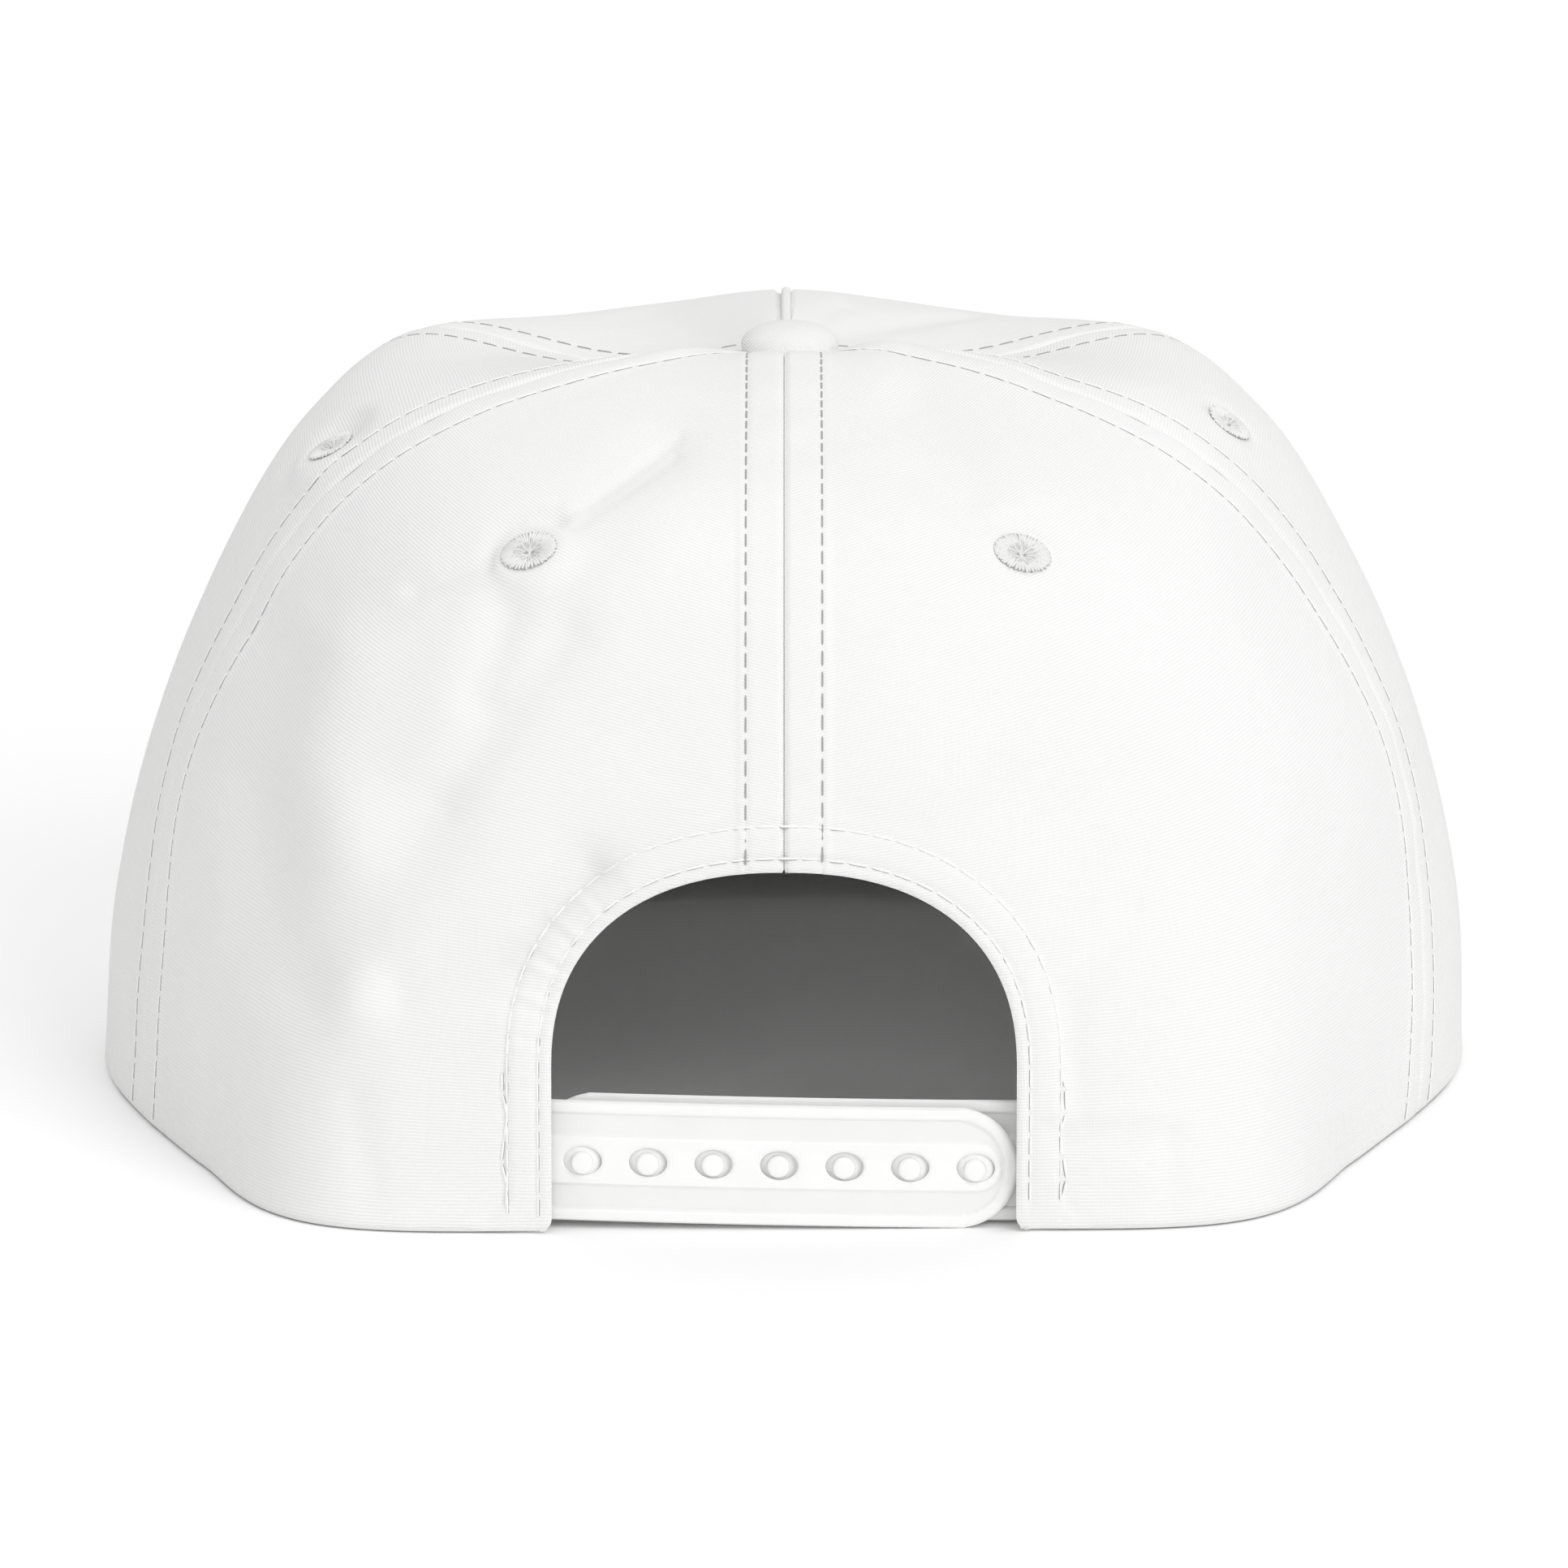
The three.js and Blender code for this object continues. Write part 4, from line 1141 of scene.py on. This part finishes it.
def round_off(bm, measure, limit):
    """Deletes the faces past a limit and draws the points left there onto it."""
    beyond = [f for f in bm.faces if measure(f.calc_center_median()) > limit]
    touched = {v for f in beyond for v in f.verts}
    bmesh.ops.delete(bm, geom=beyond, context="FACES")
    centre_x = max(v.co.x for v in bm.verts) - limit
    for vert in touched:
        if vert.is_valid and vert.co.x > centre_x:
            offset = vert.co - Vector((centre_x, 0, 0))
            vert.co = Vector((centre_x, 0, 0)) + offset.normalized() * limit


def cut_snap_hole(bm, x):
    def reach(place):
        return math.hypot((place.x - x) / SNAPS["half_width"], place.y / SNAPS["half_height"])

    inside = [f for f in bm.faces if reach(f.calc_center_median()) < 1]
    touched = {v for f in inside for v in f.verts}
    bmesh.ops.delete(bm, geom=inside, context="FACES")
    for vert in touched:
        if vert.is_valid:
            share = reach(vert.co)
            vert.co = Vector((x + (vert.co.x - x) / share, vert.co.y / share, 0))


def add_pegs(bm):
    """Round pegs, each on a flared foot."""
    foot = STRAP_HALVES[1]["face"] - STRAP["pad"] + PEG["sunk"]
    turn = Matrix.Rotation(math.radians(90), 4, "X")
    for x, z in snap_places():
        middle_y = (foot + PEG["top"]) / 2 - MIDDLE_Y
        place = Vector((x + PEG["across"], middle_y, z + PEG["up"]))
        made = bmesh.ops.create_cone(
            bm, cap_ends=True, segments=32, radius1=PEG["radius"], radius2=PEG["radius"],
            depth=foot - PEG["top"], matrix=Matrix.Translation(place) @ turn)
        mine = set(made["verts"])
        top = [e for e in bm.edges if set(e.verts) <= mine and all(v.co.y < place.y for v in e.verts)]
        bmesh.ops.bevel(
            bm, geom=top, offset=PEG["rounding"], offset_type="OFFSET", segments=4, profile=0.5,
            affect="EDGES", material=-1)
        place.y = foot - PEG["flare_height"] / 2 - MIDDLE_Y
        bmesh.ops.create_cone(
            bm, cap_ends=True, segments=32, radius1=PEG["flare"], radius2=PEG["radius"] * 0.98,
            depth=PEG["flare_height"], matrix=Matrix.Translation(place) @ turn)


# Peak

def peak_places(share, outward):
    """Top of the board: share runs from its left end to its right end, outward from root to edge."""
    side = np.where(share < 0, -1.0, 1.0)
    station = FRONT + (PEAK["from"] - FRONT) * np.abs(share)
    root = crown_point(side, station, np.zeros_like(station))
    flat = root[..., :2]
    flat = flat * (1 + 0.3 * mm / np.linalg.norm(flat, axis=-1, keepdims=True))
    angle = math.pi / 2 * (1 - np.abs(share))
    power = 2 / PEAK["power"]
    edge_x = side * PEAK["half_width"] * np.cos(angle) ** power
    edge_y = PEAK["root"] + PEAK["reach"] * np.sin(angle) ** power
    x = flat[..., 0] * (1 - outward) + edge_x * outward
    y = flat[..., 1] * (1 - outward) + edge_y * outward
    hump = np.maximum(1 - (x / (PEAK["half_width"] + 1 * mm)) ** 2, 0)
    z = PEAK["floor_gap"] + (PEAK["camber"] - PEAK["tip_drop"] * outward) * hump + PEAK["thickness"]
    return np.stack([x, y, z], -1) + SHIFT


def peak_seat(share, outward):
    """The board's top with the shallow channels that its stitch rows press."""
    places = peak_places(share, outward)
    for row in PEAK["stitch_rows"]:
        places[..., 2] -= PEAK["channel"] * bump((outward - row) * 85 * mm, PEAK["channel_width"])
    return places


def make_peak():
    """The board: one sheet that runs out over its top, round its edge and back underneath."""
    bm = bmesh.new()
    bmesh.ops.create_grid(bm, x_segments=110, y_segments=PEAK["rows"], size=0.5)
    flat = read_places(bm)
    share = flat[:, 0] * 2
    across = flat[:, 1] + 0.5
    root = peak_places(share, np.zeros_like(share))
    reach = np.linalg.norm((peak_places(share, np.ones_like(share)) - root)[:, :2], axis=-1)
    radius = PEAK["thickness"] / 2
    round_from = 1 - radius / reach
    top_share, turn_share = PEAK["top_share"], PEAK["turn_share"]
    turn = np.clip((across - top_share) / turn_share, 0, 1) * math.pi
    under = np.clip((across - top_share - turn_share) / (1 - top_share - turn_share), 0, 1)
    out = np.clip(across / top_share, 0, 1) * (1 - under)
    outward = round_from * out + radius / reach * np.sin(turn)
    places = peak_seat(share, outward)
    bottom = peak_places(share, outward)[:, 2] - radius * (1 - np.cos(turn))
    places[:, 2] = np.where(turn > 0, bottom, places[:, 2])
    write_places(bm, places)
    map_cloth(bm, places[:, :2])
    root_rows = [e for e in bm.edges if e.is_boundary and all(across[v.index] in (0, 1) for v in e.verts)]
    bmesh.ops.bridge_loops(bm, edges=root_rows)
    bmesh.ops.holes_fill(bm, edges=[e for e in bm.edges if e.is_boundary], sides=0)
    bmesh.ops.recalc_face_normals(bm, faces=bm.faces[:])
    make_peak_stitches()
    return finish_piece(bm, "peak", CLOTH_LOOK, ["peak"])


def make_peak_stitches():
    sewing = Sewing()
    for row in PEAK["stitch_rows"]:
        dense = np.linspace(-0.97, 0.97, 900)
        line = peak_seat(dense, np.full_like(dense, row))
        length = np.concatenate([[0], np.cumsum(np.linalg.norm(np.diff(line, axis=0), axis=-1))])
        share = np.interp(np.arange(0, length[-1], STITCH["pitch"]), length, dense)
        places = peak_seat(share, np.full_like(share, row))
        normals = np.tile((0.0, 0.0, 1.0), (len(places), 1))
        sewing.sew(places, normals)
    sewing.finish("peak_topstitch")


# Camera, floor and light

def make_stage():
    scene = bpy.context.scene
    scene.view_settings.view_transform = "Standard"
    camera = bpy.data.objects.new("camera", bpy.data.cameras.new("camera"))
    camera.data.lens = LENS
    camera.data.sensor_width = 36
    camera.data.clip_end = 50
    target = Vector((0, -MIDDLE_Y, AIM_HEIGHT))
    back = Vector((0, -math.cos(VIEW_TILT), math.sin(VIEW_TILT))) * CAMERA_DISTANCE
    camera.location = Vector((0, -MIDDLE_Y, VIEW_HEIGHT)) + back
    camera.rotation_euler = (target - camera.location).to_track_quat("-Z", "Y").to_euler()
    scene.collection.objects.link(camera)
    scene.camera = camera

    bm = bmesh.new()
    bmesh.ops.create_grid(bm, x_segments=1, y_segments=1, size=6)
    mesh = bpy.data.meshes.new("floor")
    bm.to_mesh(mesh)
    bm.free()
    floor = bpy.data.objects.new("floor", mesh)
    scene.collection.objects.link(floor)
    material, tree, shader = new_material("pale floor", 0.9, specular=0.1)
    shader.inputs["Base Color"].default_value = (0.99, 0.99, 0.99, 1)
    mesh.materials.append(material)

    world = bpy.data.worlds.new("studio")
    scene.world = world
    world.use_nodes = True
    world.node_tree.nodes["Background"].inputs["Color"].default_value = (1, 1, 1, 1)
    world.node_tree.nodes["Background"].inputs["Strength"].default_value = WORLD_LIGHT

    for lamp in LAMPS:
        light = bpy.data.lights.new(lamp["name"], "SUN")
        light.angle = math.radians(lamp["softness"])
        light.energy = lamp["power"]
        holder = bpy.data.objects.new(lamp["name"], light)
        holder.rotation_euler = (-Vector(lamp["from"])).to_track_quat("-Z", "Y").to_euler()
        scene.collection.objects.link(holder)
    scene.cycles.diffuse_bounces = 12


make_stage()
for panel in PANELS:
    for side_name, side in SIDES.items():
        make_panel(side_name, side, panel)
sew_seams()
sew_arch()
for eyelet in EYELETS:
    make_eyelet(eyelet)
make_front_rib()
make_button()
for half in STRAP_HALVES:
    make_strap(half)
make_peak()
